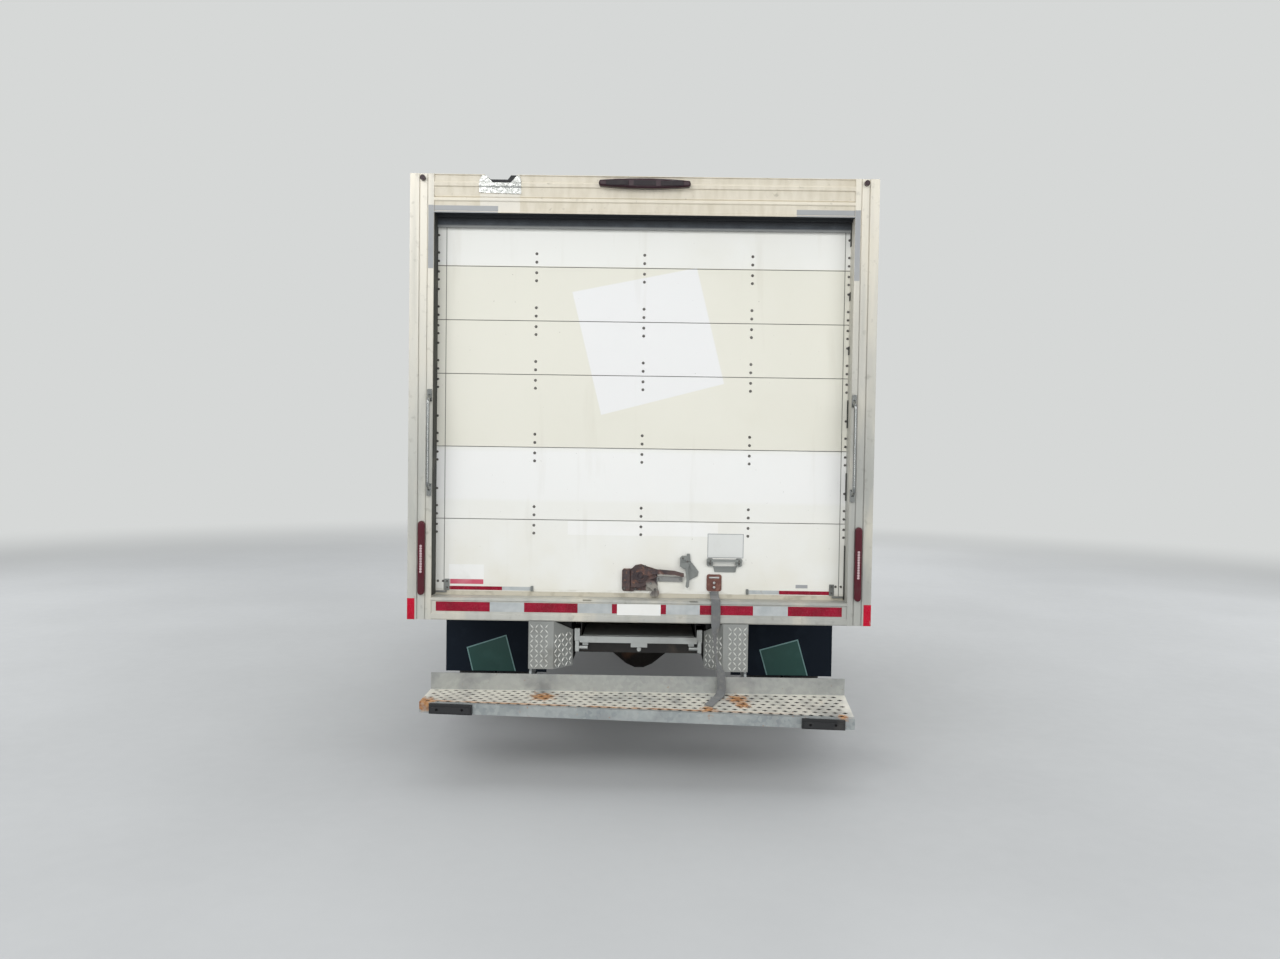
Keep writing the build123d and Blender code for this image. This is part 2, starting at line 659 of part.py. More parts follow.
strap_x = 401
with BuildPart() as strap_bracket:
    with BuildSketch(Plane.XZ.offset(-latch_face_y)):
        with Locations((strap_x, 1004)):
            RectangleRounded(80, 90, 12)
        with Locations((strap_x, 1032)):
            SlotOverall(56, 10, mode=Mode.SUBTRACT)
    extrude(amount=6)
    with Locations(Location((strap_x, latch_face_y - 8, 1004), (90, 0, 0)),
                   Location((strap_x, latch_face_y - 8, 980), (90, 0, 0))):
        Cylinder(8, 6)
    add(door_latch.part)
write(strap_bracket, "door_latch")

# Grab handles on the posts.
grab_low = 1470
grab_high = 1995
grab_x = 1108
with BuildPart() as grab_handles:
    stand = 45
    with BuildLine() as grab_line:
        FilletPolyline((grab_x, rear_face_y - 8, grab_low + 16), (grab_x, rear_face_y - stand, grab_low + 42),
                       (grab_x, rear_face_y - stand, grab_high - 42), (grab_x, rear_face_y - 8, grab_high - 16),
                       radius=30)
    with BuildSketch(Plane(origin=grab_line.line @ 0, z_dir=grab_line.line % 0)):
        Circle(9)
    sweep(path=grab_line.line)
    for end_z in (grab_low, grab_high):
        with Locations((grab_x, rear_face_y - 7, end_z + (16 if end_z == grab_low else -16))):
            Box(24, 14, 64)
    mirror(about=Plane.YZ)
write(grab_handles, "grab_handles")

# Lamps on the rear frame
lamp_x = 1146
with BuildPart() as tail_lamps:
    for side in (-1, 1):
        with BuildSketch(Plane.XZ.offset(-rear_face_y - 3 + seat_gap)):
            with Locations((side * lamp_x, 1126)):
                SlotOverall(390, 36, rotation=90)
        extrude(amount=24)
    fillet(tail_lamps.edges().group_by(Axis.Y)[0], 8)

with BuildPart() as marker_lamps:
    # the tapering bar of three lamps at the header's middle, and one small lamp on each post
    with BuildSketch(Plane.XZ.offset(-rear_face_y)):
        with BuildLine():
            lamp_z = box_top_z - 44
            ThreePointArc((-230, lamp_z + 16), (0, lamp_z + 26), (230, lamp_z + 16))
            ThreePointArc((230, lamp_z + 16), (238, lamp_z), (230, lamp_z - 16))
            ThreePointArc((230, lamp_z - 16), (0, lamp_z - 26), (-230, lamp_z - 16))
            ThreePointArc((-230, lamp_z - 16), (-238, lamp_z), (-230, lamp_z + 16))
        make_face()
    extrude(amount=34)
    fillet(marker_lamps.edges().group_by(Axis.Y)[0], 10)
    for side in (-1, 1):
        with Locations(Location((side * 1152, rear_face_y + 3 - seat_gap - 9, box_top_z - 24), (90, 0, 0))):
            Cylinder(14, 18)
    add(tail_lamps.part)
write(marker_lamps, "rear_lamps")

# Mud flaps behind the rear wheels, hung from the crossmembers.
flap_y = rear_face_y + 995
flap_low = 300
flap_width = 634
flap_x = 898
with BuildPart() as mud_flaps:
    for side in (-1, 1):
        with Locations((side * flap_x, flap_y, (flap_low + sill_bottom_z) / 2)):
            Box(flap_width, 8, sill_bottom_z - flap_low)
        with Locations((side * flap_x, flap_y + 16, sill_bottom_z - 22)):
            Box(flap_width, 24, 44)
write(mud_flaps, "mud_flaps")

# Step bumper: riser, tread and face in one folded sheet, with its right end bent down.
bumper_half = 1085
bumper_gauge = 6
tread_z = 440
riser_height = 86
riser_y = rear_face_y - 25
face_y = rear_face_y - bumper_reach + 22
face_height = 54
bend_drop = 54


def edge_drop(x):
    """How far the tread's rear edge has dropped at x, from nothing on the left to bend_drop on the right."""
    return bend_drop * (x + bumper_half) / (2 * bumper_half)


def bumper_section(x):
    """The folded sheet's outline at x, as a face in the YZ plane."""
    rear_z = tread_z - edge_drop(x)
    with BuildSketch(Plane.YZ.offset(x)) as outline:
        with BuildLine():
            Polyline((riser_y, tread_z + riser_height), (riser_y, tread_z), (face_y, rear_z),
                     (face_y, rear_z - face_height), (face_y + bumper_gauge, rear_z - face_height),
                     (face_y + bumper_gauge, rear_z - bumper_gauge), (riser_y + bumper_gauge, tread_z - bumper_gauge),
                     (riser_y + bumper_gauge, tread_z + riser_height), close=True)
        make_face()
    return outline.sketch


# Lozenge slots pressed through the tread, in rows that are staggered by half a pitch.
tread_slot_length = 32
tread_slot_width = 16
tread_slot_pitch = 50.5
tread_row_pitch = 35
tread_rows = 7
first_row = 28
slots_per_row = 42
with BuildPart() as bumper_sheet:
    loft([bumper_section(-bumper_half).face(), bumper_section(bumper_half).face()], ruled=True)
    with BuildSketch(Plane.XY.offset(tread_z - bend_drop - 2 * bumper_gauge)):
        for row in range(tread_rows):
            shift = tread_slot_pitch / 4 * (1 if row % 2 else -1)
            with Locations((shift, riser_y - first_row - row * tread_row_pitch)):
                with GridLocations(tread_slot_pitch, 1, slots_per_row, 1):
                    Polygon((-tread_slot_length / 2, 0), (0, -tread_slot_width / 2), (tread_slot_length / 2, 0),
                            (0, tread_slot_width / 2))
    extrude(amount=bend_drop + 3 * bumper_gauge, mode=Mode.SUBTRACT)

with BuildPart() as bumper_pads:
    for start_x, end_x in ((-1034, -820), (820, 1034)):
        low = [(start_x, tread_z - edge_drop(start_x) - face_height), (end_x, tread_z - edge_drop(end_x) - face_height)]
        high = [(end_x, tread_z - edge_drop(end_x) - 4), (start_x, tread_z - edge_drop(start_x) - 4)]
        plate(low + high, face_y, 16)
        inner_low = [(start_x + 8, low[0][1] + 6), (end_x - 8, low[1][1] + 6)]
        inner_high = [(end_x - 8, high[0][1] - 12), (start_x + 8, high[1][1] - 12)]
        plate(inner_low + inner_high, face_y - 16, 6)
        # sunk bolt holes
        for x in (start_x + 40, end_x - 48):
            with Locations(Location((x, face_y - 22, low[0][1] + (low[1][1] - low[0][1]) / 2 + 24), (90, 0, 0))):
                Cylinder(7, 24, mode=Mode.SUBTRACT)
write(bumper_pads, "bumper_pads")

# Arms from the rails to the bumper, and the bent checker plates that cover them.
arm_x = 566
cover_low = 548
with BuildPart() as bumper_arms:
    with BuildSketch(Plane.YZ.offset(arm_x - 6)):
        with BuildLine():
            Polyline((rear_face_y + 330, rail_top_z - 10), (rear_face_y + 6, rail_top_z - 10),
                     (rear_face_y + 6, cover_low - 6), (riser_y + bumper_gauge, tread_z + riser_height - 6),
                     (riser_y + bumper_gauge, tread_z - bumper_gauge), (riser_y + 90, tread_z - bumper_gauge),
                     (rear_face_y + 330, rail_top_z - 130), close=True)
        make_face()
    extrude(amount=12)
    with Locations(((rail_outer_x + arm_x) / 2 + 3, rear_face_y + 270, rail_top_z - 70)):
        Box(arm_x - rail_outer_x + 6, 110, 110)
    mirror(about=Plane.YZ)
    add(bumper_sheet.part)
write(bumper_arms, "step_bumper")

cover_gauge = 4
with BuildPart() as checker_covers:
    # columns: distance from the truck's middle, distance forward of the rear face
    bend = [(578, -4), (446, -4), (352, 96)]
    with BuildSketch(Plane.XY.offset(cover_low)):
        with BuildLine():
            ahead = [(x - (2 if x < 400 else 0), forward + cover_gauge + (1 if x < 400 else 0)) for x, forward in bend]
            Polyline(*[(x, rear_face_y + forward) for x, forward in bend + ahead[::-1]], close=True)
        make_face()
    extrude(amount=sill_bottom_z - cover_low)
    # the inner top corner is cut away
    with BuildSketch(Plane.XZ.offset(-rear_face_y + 50)):
        with BuildLine():
            Polyline((445, sill_bottom_z + 1), (340, sill_bottom_z + 1), (340, 735), close=True)
        make_face()
    extrude(amount=-200, mode=Mode.SUBTRACT)
    # outer return flange, which seats on the arm
    with Locations((576, rear_face_y + 20, (cover_low + sill_bottom_z) / 2)):
        Box(4, 48, sill_bottom_z - cover_low)
    mirror(about=Plane.YZ)
write(checker_covers, "checker_covers")

# Walk ramp stored between the rails, and the guides it slides in.
ramp_half = 300
ramp_length = 2500
ramp_low = 655
ramp_height = 55
ramp_back_y = rear_face_y + 110
with BuildPart() as walk_ramp:
    with BuildSketch(Plane.XZ.offset(-ramp_back_y)):
        with Locations((0, ramp_low + ramp_height / 2)):
            Rectangle(2 * ramp_half, ramp_height)
        with Locations((0, ramp_low + 8)):
            Rectangle(2 * ramp_half - 60, 30, mode=Mode.SUBTRACT)
    extrude(amount=-ramp_length)
    # the end bar, and at each end a lug that stands up and a hook plate with its pin below
    lug_x = ramp_half + 28
    lug_width = 28
    with Locations((0, ramp_back_y - 14, 692)):
        Box(2 * lug_x - lug_width, 28, 34)
    for side in (-1, 1):
        with Locations((side * lug_x, ramp_back_y - 2, 714)):
            Box(lug_width, 24, 66)
        with Locations((side * lug_x, ramp_back_y - 6, 654)):
            Box(lug_width - 8, 34, 58)
        with Locations(Location((side * (lug_x - 24), ramp_back_y - 6, 645), (0, 90, 0))):
            Cylinder(10, 64)
    # the catch under the middle of the bar, with its knob
    with Locations((4, ramp_back_y - 12, 664)):
        Box(88, 24, 24)
    with Locations(Location((4, ramp_back_y - 17, 643), (90, 0, 0))):
        Cylinder(11, 34)
write(walk_ramp, "walk_ramp")

with BuildPart() as box_underframe:
    for side in (-1, 1):
        with Locations((side * longsill_x, (rail_rear_y + box_front_y) / 2, (rail_top_z + sill_bottom_z) / 2)):
            Box(longsill_width, box_front_y - rail_rear_y, sill_bottom_z - rail_top_z)
    for step in range(crossmember_count):
        y = rear_wall_y + 80 + step * crossmember_pitch
        with BuildSketch(Plane.YZ.offset(-inner_x)):
            with Locations((y, (sill_bottom_z + crossmember_high) / 2)):
                Rectangle(crossmember_width, crossmember_high - sill_bottom_z)
                for face in (-1, 1):
                    with Locations((face * (crossmember_width + crossmember_web) / 4, 0)):
                        Rectangle((crossmember_width - crossmember_web) / 2,
                                  crossmember_high - sill_bottom_z - 2 * crossmember_web, mode=Mode.SUBTRACT)
        extrude(amount=2 * inner_x)
    # guides that carry the ramp's edges
    guide_length = ramp_length - 60
    with BuildSketch(Plane.XZ.offset(-(ramp_back_y + 60))):
        with BuildLine():
            edge = ramp_half + 8
            Polyline((edge, sill_bottom_z), (edge, ramp_low - seat_gap), (ramp_half - 25, ramp_low - seat_gap),
                     (ramp_half - 25, ramp_low - 6), (edge + 5, ramp_low - 6), (edge + 5, sill_bottom_z), close=True)
        make_face()
    extrude(amount=-guide_length)
    mirror(about=Plane.YZ)
write(box_underframe, "box_underframe")


# Cab: every panel comes from one outer form, drawn in by its thickness.
def cab_form(inset):
    """The cab's form as the meeting of its side, plan and front outlines, each drawn in by inset."""
    nose_y = front_axle_y + nose_reach
    with BuildPart() as form:
        with BuildSketch(Plane.YZ) as side_view:
            with BuildLine():
                back_low = (cab_back_y, rocker_z)
                back_high = (cab_back_y, roof_z - 50)
                header = (front_axle_y - header_back, header_z)
                cowl = (front_axle_y - cowl_back, cowl_z)
                nose = (nose_y - 40, nose_z)
                chin = (nose_y, 560)
                Line(back_low, back_high)
                ThreePointArc(back_high, ((back_high[0] + header[0]) / 2, roof_z), header)
                ThreePointArc(header, ((header[0] + cowl[0]) / 2 + 16, (header[1] + cowl[1]) / 2 + 14), cowl)
                ThreePointArc(cowl, ((cowl[0] + nose[0]) / 2, (cowl[1] + nose[1]) / 2 + 42), nose)
                Polyline(nose, chin, (nose_y - 60, 480), (front_axle_y - arch_radius, rocker_z), back_low)
            make_face()
            fillet(side_view.vertices().sort_by_distance(header)[0], 150)
            fillet(side_view.vertices().sort_by_distance(nose)[0], 110)
            if inset:
                offset(amount=-inset, kind=Kind.INTERSECTION)
        extrude(amount=cab_half_width + 50, both=True)
        with BuildSketch(Plane.XY) as plan_view:
            with BuildLine():
                corner_y = nose_y - 60
                right = [(cab_half_width, cab_back_y), (cab_half_width, front_axle_y - 300),
                         (cab_half_width - 45, corner_y)]
                left = [(-x, y) for x, y in right]
                Polyline(*right)
                Polyline(*left)
                Line(right[0], left[0])
                ThreePointArc(right[2], (0, nose_y), left[2])
            make_face()
            fillet(plan_view.vertices().group_by(Axis.Y)[-1], 150)
            fillet(plan_view.vertices().group_by(Axis.Y)[0], 40)
            if inset:
                offset(amount=-inset, kind=Kind.INTERSECTION)
        extrude(amount=roof_z + 200, mode=Mode.INTERSECT)
        with BuildSketch(Plane.XZ) as front_view:
            with BuildLine():
                right = [(cab_half_width - 25, rocker_z), (cab_half_width, rocker_z + 260),
                         (cab_half_width, belt_z), (cab_half_width - 105, 2000), (cab_half_width - 150, roof_z - 10)]
                left = [(-x, z) for x, z in right]
                Polyline(*right)
                Polyline(*left)
                Line(right[0], left[0])
                ThreePointArc(right[-1], (0, roof_z + 4), left[-1])
            make_face()
            fillet(front_view.vertices().group_by(Axis.Z)[-1], 90)
            if inset:
                offset(amount=-inset, kind=Kind.INTERSECTION)
        extrude(amount=overall_length, both=True, mode=Mode.INTERSECT)
    return form.part


def side_prism(points, corner=0, grow=0):
    """A block across the whole truck from a side outline, made larger by grow."""
    face = side_outline(points, corner)
    if grow:
        face = offset(face, amount=grow, kind=Kind.INTERSECTION, mode=Mode.PRIVATE)
    return extrude(face, amount=cab_half_width + 100, both=True, dir=(1, 0, 0), mode=Mode.PRIVATE)


def across_block(face, start_x, end_x):
    """A block across the truck from a side outline, between two distances from the middle."""
    return Pos(start_x, 0, 0) * extrude(face, amount=end_x - start_x, dir=(1, 0, 0), mode=Mode.PRIVATE)


def door_face(gap, rear_gap):
    """A door's side outline, made larger by gap in front, above and below, and by rear_gap behind."""
    return side_outline([(door_front_back - gap, door_bottom - gap), (door_front_back - gap, 1510 + gap / 2),
                         (900 - gap / 2, door_top + gap), (door_rear_back + rear_gap, door_top + gap),
                         (door_rear_back + rear_gap, door_bottom - gap)], 30)


def window_face(shrink):
    """A door window's side outline, drawn in by shrink."""
    return side_outline([(door_front_back + 85 + shrink, belt_z + shrink), (door_front_back + 85 + shrink, 1480),
                         (926 + shrink, 1905 - shrink), (door_rear_back - 80 - shrink, 1905 - shrink),
                         (door_rear_back - 80 - shrink, belt_z + shrink)], 25)


bonnet_back_y = front_axle_y - cowl_back + 55
bonnet_front_y = front_axle_y + nose_reach - 75


def bonnet_prism(grow):
    """An upright block over the bonnet, from a plan outline made larger by grow."""
    with BuildSketch(Plane.XY.offset(1000)) as outline:
        with BuildLine():
            Polyline((-800 - grow, bonnet_back_y - grow), (800 + grow, bonnet_back_y - grow),
                     (730 + grow, bonnet_front_y + grow), (-730 - grow, bonnet_front_y + grow), close=True)
        make_face()
        fillet(outline.vertices().group_by(Axis.Y)[-1], 60)
    return extrude(outline.sketch, amount=500, mode=Mode.PRIVATE)


def windscreen_prism(shrink):
    """A block along the truck through the windscreen, from a front outline drawn in by shrink."""
    with BuildSketch(Plane.XZ.offset(-(front_axle_y - 1050))) as outline:
        with BuildLine():
            Polyline((-800, 1440), (800, 1440), (715, 2015), (-715, 2015), close=True)
        make_face()
        fillet(outline.vertices(), 60)
        if shrink:
            offset(amount=-shrink)
    return extrude(outline.sketch, amount=-1050, mode=Mode.PRIVATE)


def band(start_x, end_x, low_z, high_z, back_y=front_axle_y + 500, front_y=overall_length):
    """A plain block between the given limits, for cutting a form into its panels."""
    with BuildPart() as block:
        with Locations(((start_x + end_x) / 2, (back_y + front_y) / 2, (low_z + high_z) / 2)):
            Box(end_x - start_x, front_y - back_y, high_z - low_z)
    return block.part


cab_outer = cab_form(0)
cab_inner = cab_form(cab_wall)
door_back = cab_form(cab_wall + shut_gap)
glass_outer = cab_form(14)
glass_inner = cab_form(20)
bonnet_inner = cab_form(28)
pocket_low = 710
pocket_high = 1060
pocket_back_y = front_axle_y + nose_reach - 90
pocket_half = 905
bay_half = arch_inner_x - 30

door_hinge_x = cab_half_width + 8
door_hinge_y = front_axle_y - door_front_back - 4
door_hinge_heights = (760, 1240)
hinge_pin_radius = 5
hinge_barrel_radius = 10
hinge_barrel_length = 60
hinge_ear = 8
hinge_ear_radius = 6.5
hinge_clearance = 0.05
bonnet_hinge_x = 560
bonnet_hinge_y = bonnet_back_y + 6
bonnet_hinge_z = cowl_z + 1

# The space inside, from the cab's back wall to the firewall.
with BuildPart() as cabin_space:
    add(cab_inner)
    with Locations((0, (cab_back_y + front_axle_y - firewall_back) / 2, cab_floor_z + 1000)):
        Box(3000, front_axle_y - firewall_back - cab_back_y, 2000, mode=Mode.INTERSECT)

# The engine's space, open below between the wheel housings.
with BuildPart() as engine_space:
    add(cab_inner)
    add(band(-cab_half_width, cab_half_width, 500, 1500, front_axle_y - firewall_back + 60, front_axle_y + 630),
        mode=Mode.INTERSECT)
    for side in (-1, 1):
        arch_depth = cab_half_width - bay_half
        with Locations(Location((side * (bay_half + arch_depth / 2), front_axle_y, axle_z), (0, 90, 0))):
            Cylinder(arch_radius + 30, arch_depth, mode=Mode.SUBTRACT)
    add(band(-bay_half, bay_half, 300, 700, front_axle_y - firewall_back + 60, front_axle_y + 630))
    add(band(-bay_half, bay_half, 300, 630, front_axle_y, front_axle_y + 800))

with BuildPart() as cab_hinges:
    # door hinge pins, each held by an ear above and below the door's barrel
    for side in (-1, 1):
        for z in door_hinge_heights:
            with Locations((side * door_hinge_x, door_hinge_y, z)):
                Cylinder(hinge_pin_radius, hinge_barrel_length + 2)
            for up in (-1, 1):
                ear_z = z + up * (hinge_barrel_length / 2 + 1 + hinge_ear / 2)
                with Locations((side * door_hinge_x, door_hinge_y, ear_z)):
                    Cylinder(hinge_ear_radius, hinge_ear)
                with Locations((side * door_hinge_x, door_hinge_y + 15, ear_z)):
                    Box(2 * hinge_ear_radius, 30, hinge_ear)
                with Locations((side * (cab_half_width - 4), door_hinge_y + 21, ear_z)):
                    Box(20, 18, hinge_ear)
    # bonnet hinge pins on the cowl
    for x in (-bonnet_hinge_x, bonnet_hinge_x):
        with Locations(Location((x, bonnet_hinge_y, bonnet_hinge_z), (0, 90, 0))):
            Cylinder(hinge_pin_radius, hinge_barrel_length + 2)
        for end in (-1, 1):
            ear_x = x + end * (hinge_barrel_length / 2 + 1 + hinge_ear / 2)
            with Locations(Location((ear_x, bonnet_hinge_y, bonnet_hinge_z), (0, 90, 0))):
                Cylinder(hinge_ear_radius, hinge_ear)
            with Locations((ear_x, bonnet_hinge_y - 18, bonnet_hinge_z)):
                Box(hinge_ear, 36, 2 * hinge_ear_radius)
            with Locations((ear_x, bonnet_hinge_y - 27, bonnet_hinge_z - 10)):
                Box(hinge_ear, 18, 20)

with BuildPart() as cab_body:
    add(cab_outer)
    add(cabin_space.part, mode=Mode.SUBTRACT)
    add(engine_space.part, mode=Mode.SUBTRACT)
    # room under the floor for the frame
    add(band(130 - cab_half_width, cab_half_width - 130, 300, cab_floor_z - cab_wall, cab_back_y - 50,
             front_axle_y - firewall_back + 61), mode=Mode.SUBTRACT)
    # wheel arches
    for side in (-1, 1):
        arch_depth = cab_half_width - arch_inner_x + 100
        with Locations(Location((side * (arch_inner_x + arch_depth / 2), front_axle_y, axle_z), (0, 90, 0))):
            Cylinder(arch_radius, arch_depth, mode=Mode.SUBTRACT)
    # notches in the wheel housings for the axle beam and the spring brackets
    add(band(-arch_inner_x - 1, arch_inner_x + 1, 300, cab_floor_z - cab_wall, front_axle_y - 130,
             front_axle_y + 130), mode=Mode.SUBTRACT)
    add(across_block(door_face(shut_gap, rear_shut_gap), -1200, 1200) - door_back, mode=Mode.SUBTRACT)
    add(windscreen_prism(0), mode=Mode.SUBTRACT)
    add(bonnet_prism(shut_gap), mode=Mode.SUBTRACT)
    add(band(-pocket_half, pocket_half, pocket_low, pocket_high, pocket_back_y), mode=Mode.SUBTRACT)
    add(cab_hinges.part)
write(cab_body, "cab_body")

cab_shell = cab_outer - cab_inner
for side, name in ((-1, "left"), (1, "right")):
    start_x, end_x = sorted((side * 600, side * 1200))
    door_form = cab_shell & across_block(door_face(0, 0), start_x, end_x)
    with BuildPart() as cab_door:
        add(door_form)
        add(across_block(window_face(0), start_x, end_x), mode=Mode.SUBTRACT)
        # outer handle
        with Locations((side * (cab_half_width + 9), front_axle_y - door_rear_back + 130, belt_z - 130)):
            Box(20, 170, 34)
        for z in door_hinge_heights:
            with Locations((side * door_hinge_x, door_hinge_y, z)):
                Cylinder(hinge_barrel_radius, hinge_barrel_length)
                Cylinder(hinge_pin_radius + hinge_clearance, hinge_barrel_length, mode=Mode.SUBTRACT)
    write(cab_door, f"cab_door_{name}")

    with BuildPart() as door_glass:
        add((glass_outer - glass_inner) & across_block(window_face(seat_gap), start_x, end_x))
    write(door_glass, f"door_glass_{name}")

    with BuildPart() as mirror_arm:
        mirror_y = front_axle_y - door_front_back - 110
        for z in (1250, 1330):
            with Locations((side * (cab_half_width + 64), mirror_y, z)):
                Box(128 - 2 * seat_gap, 34, 24)
        with BuildSketch(Plane.XZ.offset(20 - mirror_y)):
            with Locations((side * (cab_half_width + 180), 1420)):
                RectangleRounded(190, 380, 32)
        extrude(amount=-80)
    write(mirror_arm, f"door_mirror_{name}")

with BuildPart() as windscreen:
    add((glass_outer - glass_inner) & windscreen_prism(seat_gap))
write(windscreen, "windscreen")

with BuildPart() as bonnet:
    add((cab_outer - bonnet_inner) & bonnet_prism(0))
    for x in (-bonnet_hinge_x, bonnet_hinge_x):
        with Locations(Location((x, bonnet_hinge_y, bonnet_hinge_z), (0, 90, 0))):
            Cylinder(hinge_barrel_radius, hinge_barrel_length)
            Cylinder(hinge_pin_radius + hinge_clearance, hinge_barrel_length, mode=Mode.SUBTRACT)
write(bonnet, "bonnet")

grille_half = 560
with BuildPart() as grille:
    add((cab_form(8) - cab_form(40)) & band(-grille_half, grille_half, pocket_low + seat_gap, pocket_high - seat_gap,
                                            pocket_back_y + seat_gap))
    for row in range(5):
        low = pocket_low + 40 + row * 56
        add(band(-grille_half + 40, grille_half - 40, low, low + 34), mode=Mode.SUBTRACT)
    with Locations((0, front_axle_y + nose_reach - 24, (pocket_low + pocket_high) / 2)):
        Box(60, 14, pocket_high - pocket_low - 2)
write(grille, "grille")

with BuildPart() as headlamps:
    lamp_form = cab_form(3) - cab_form(42)
    for side in (-1, 1):
        start_x, end_x = sorted((side * (grille_half + seat_gap), side * (pocket_half - 2)))
        add(lamp_form & band(start_x, end_x, pocket_low + seat_gap, pocket_high - seat_gap, pocket_back_y + seat_gap))
write(headlamps, "headlamps")

bumper_thick = 28
bumper_side_x = 1005
tow_eye_radius = 16
tow_eye_width = 18
tow_eye_y = front_axle_y + 700
tow_eye_z = 425
plate_hole_spacing = 178
plate_hole_radius = 3.5
plate_hole_z = 620
with BuildPart() as front_bumper:
    back_y = front_axle_y + 480
    with BuildSketch(Plane.XY.offset(470)):
        add(corner_plan(bumper_side_x, front_bumper_y, 160, back_y))
        add(corner_plan(bumper_side_x - bumper_thick, front_bumper_y - bumper_thick, 160 - bumper_thick, back_y),
            mode=Mode.SUBTRACT)
    extrude(amount=215)
    fillet(front_bumper.edges().group_by(Axis.Z)[-1], 10)
    for side in (-1, 1):
        bracket_length = front_bumper_y - bumper_thick - rail_front_y
        with Locations((side * (rail_outer_x - 35), rail_front_y + bracket_length / 2 + 1, 520)):
            Box(60, bracket_length + 2, 110)
        # towing eye under each bracket
        with BuildSketch(Plane.YZ.offset(side * (rail_outer_x - 35) - tow_eye_width / 2)):
            with Locations((tow_eye_y, tow_eye_z)):
                Circle(34)
            with Locations((tow_eye_y, tow_eye_z + 25)):
                Rectangle(68, 50)
            with Locations((tow_eye_y, tow_eye_z)):
                Circle(tow_eye_radius, mode=Mode.SUBTRACT)
        extrude(amount=tow_eye_width)
    # two holes for a number plate
    with BuildSketch(Plane.XZ.offset(-front_bumper_y)):
        with Locations((-plate_hole_spacing / 2, plate_hole_z), (plate_hole_spacing / 2, plate_hole_z)):
            Circle(plate_hole_radius)
    extrude(amount=bumper_thick, mode=Mode.SUBTRACT)
write(front_bumper, "front_bumper")

with BuildPart() as dashboard:
    with BuildSketch(Plane.YZ) as dash_outline:
        with BuildLine():
            wall_y = front_axle_y - firewall_back - seat_gap
            Polyline((wall_y, 1365), (wall_y - 210, 1330), (wall_y - 300, 1250), (wall_y - 240, 1060),
                     (wall_y - 90, 980), (wall_y, 980), close=True)
        make_face()
        fillet(dash_outline.vertices().group_by(Axis.Y)[0], 40)
    extrude(amount=930, both=True)

with BuildPart() as steering_wheel:
    wheel_plane_tilt = Plane(origin=(-430, front_axle_y - 790, 1240), x_dir=(1, 0, 0),
                             z_dir=(0, -math.cos(math.radians(35)), math.sin(math.radians(35))))
    with Locations(wheel_plane_tilt):
        Torus(190, 15)
        Cylinder(60, 40)
        for turn in (0, 120, 240):
            with Locations(Rotation(0, 0, turn + 90) * Pos(110, 0, 0)):
                Box(150, 34, 12)
        with Locations((0, 0, -120)):
            Cylinder(30, 240)
    add(dashboard.part)
write(steering_wheel, "dashboard")

with BuildPart() as seats:
    for x in (-470, 470):
        with BuildSketch(Plane.YZ.offset(x)) as seat_outline:
            with BuildLine():
                seat_y = front_axle_y - 960
                Polyline((seat_y, 1040), (seat_y + 10, 950), (seat_y - 60, 930), (seat_y - 60, cab_floor_z + seat_gap),
                         (seat_y - 420, cab_floor_z + seat_gap), (seat_y - 440, 930), (seat_y - 560, 930),
                         (seat_y - 640, 1780), (seat_y - 540, 1790), (seat_y - 420, 1060), close=True)
            make_face()
            fillet(seat_outline.vertices().group_by(Axis.Z)[-1], 30)
        extrude(amount=255, both=True)
write(seats, "seats")

# Pull strap: a flat webbing band from the bracket over the sill and the riser onto the tread.
strap_width = 50
strap_gauge = 3
strap_on_tread = 190
with BuildPart() as pull_strap:
    lift = strap_gauge / 2 + seat_gap
    end_z = tread_z - edge_drop(strap_x + strap_width / 2) * strap_on_tread / (riser_y - face_y)
    with BuildLine() as strap_line:
        FilletPolyline((strap_x, latch_face_y - 6 - lift, 1034), (strap_x, rear_face_y - lift, sill_top_z + 7),
                       (strap_x, rear_face_y - lift, sill_bottom_z), (strap_x, riser_y - lift, tread_z + riser_height),
                       (strap_x, riser_y - lift, tread_z + 2 * lift),
                       (strap_x, riser_y - strap_on_tread, end_z + 2 * lift), radius=3)
    with BuildSketch(Plane(origin=strap_line.line @ 0, x_dir=(1, 0, 0), z_dir=strap_line.line % 0)):
        Rectangle(strap_width, strap_gauge)
    sweep(path=strap_line.line)
write(pull_strap, "pull_strap")
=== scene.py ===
# %% [markdown]
# # A box truck with its roll-up door shut
# The truck comes from CAD as a frame that is never changed: bodies, hinges and every main form are
# already right. Blender adds the studio, the finishes and what is too small for CAD, such as rivets,
# tapes, lamp lenses, tread and webbing. Lengths are metres, +Y is forwards and +Z is up.

# %% Load the frame
import bpy
import bmesh
import math
from mathutils import Matrix, Vector, noise
from mathutils.bvhtree import BVHTree


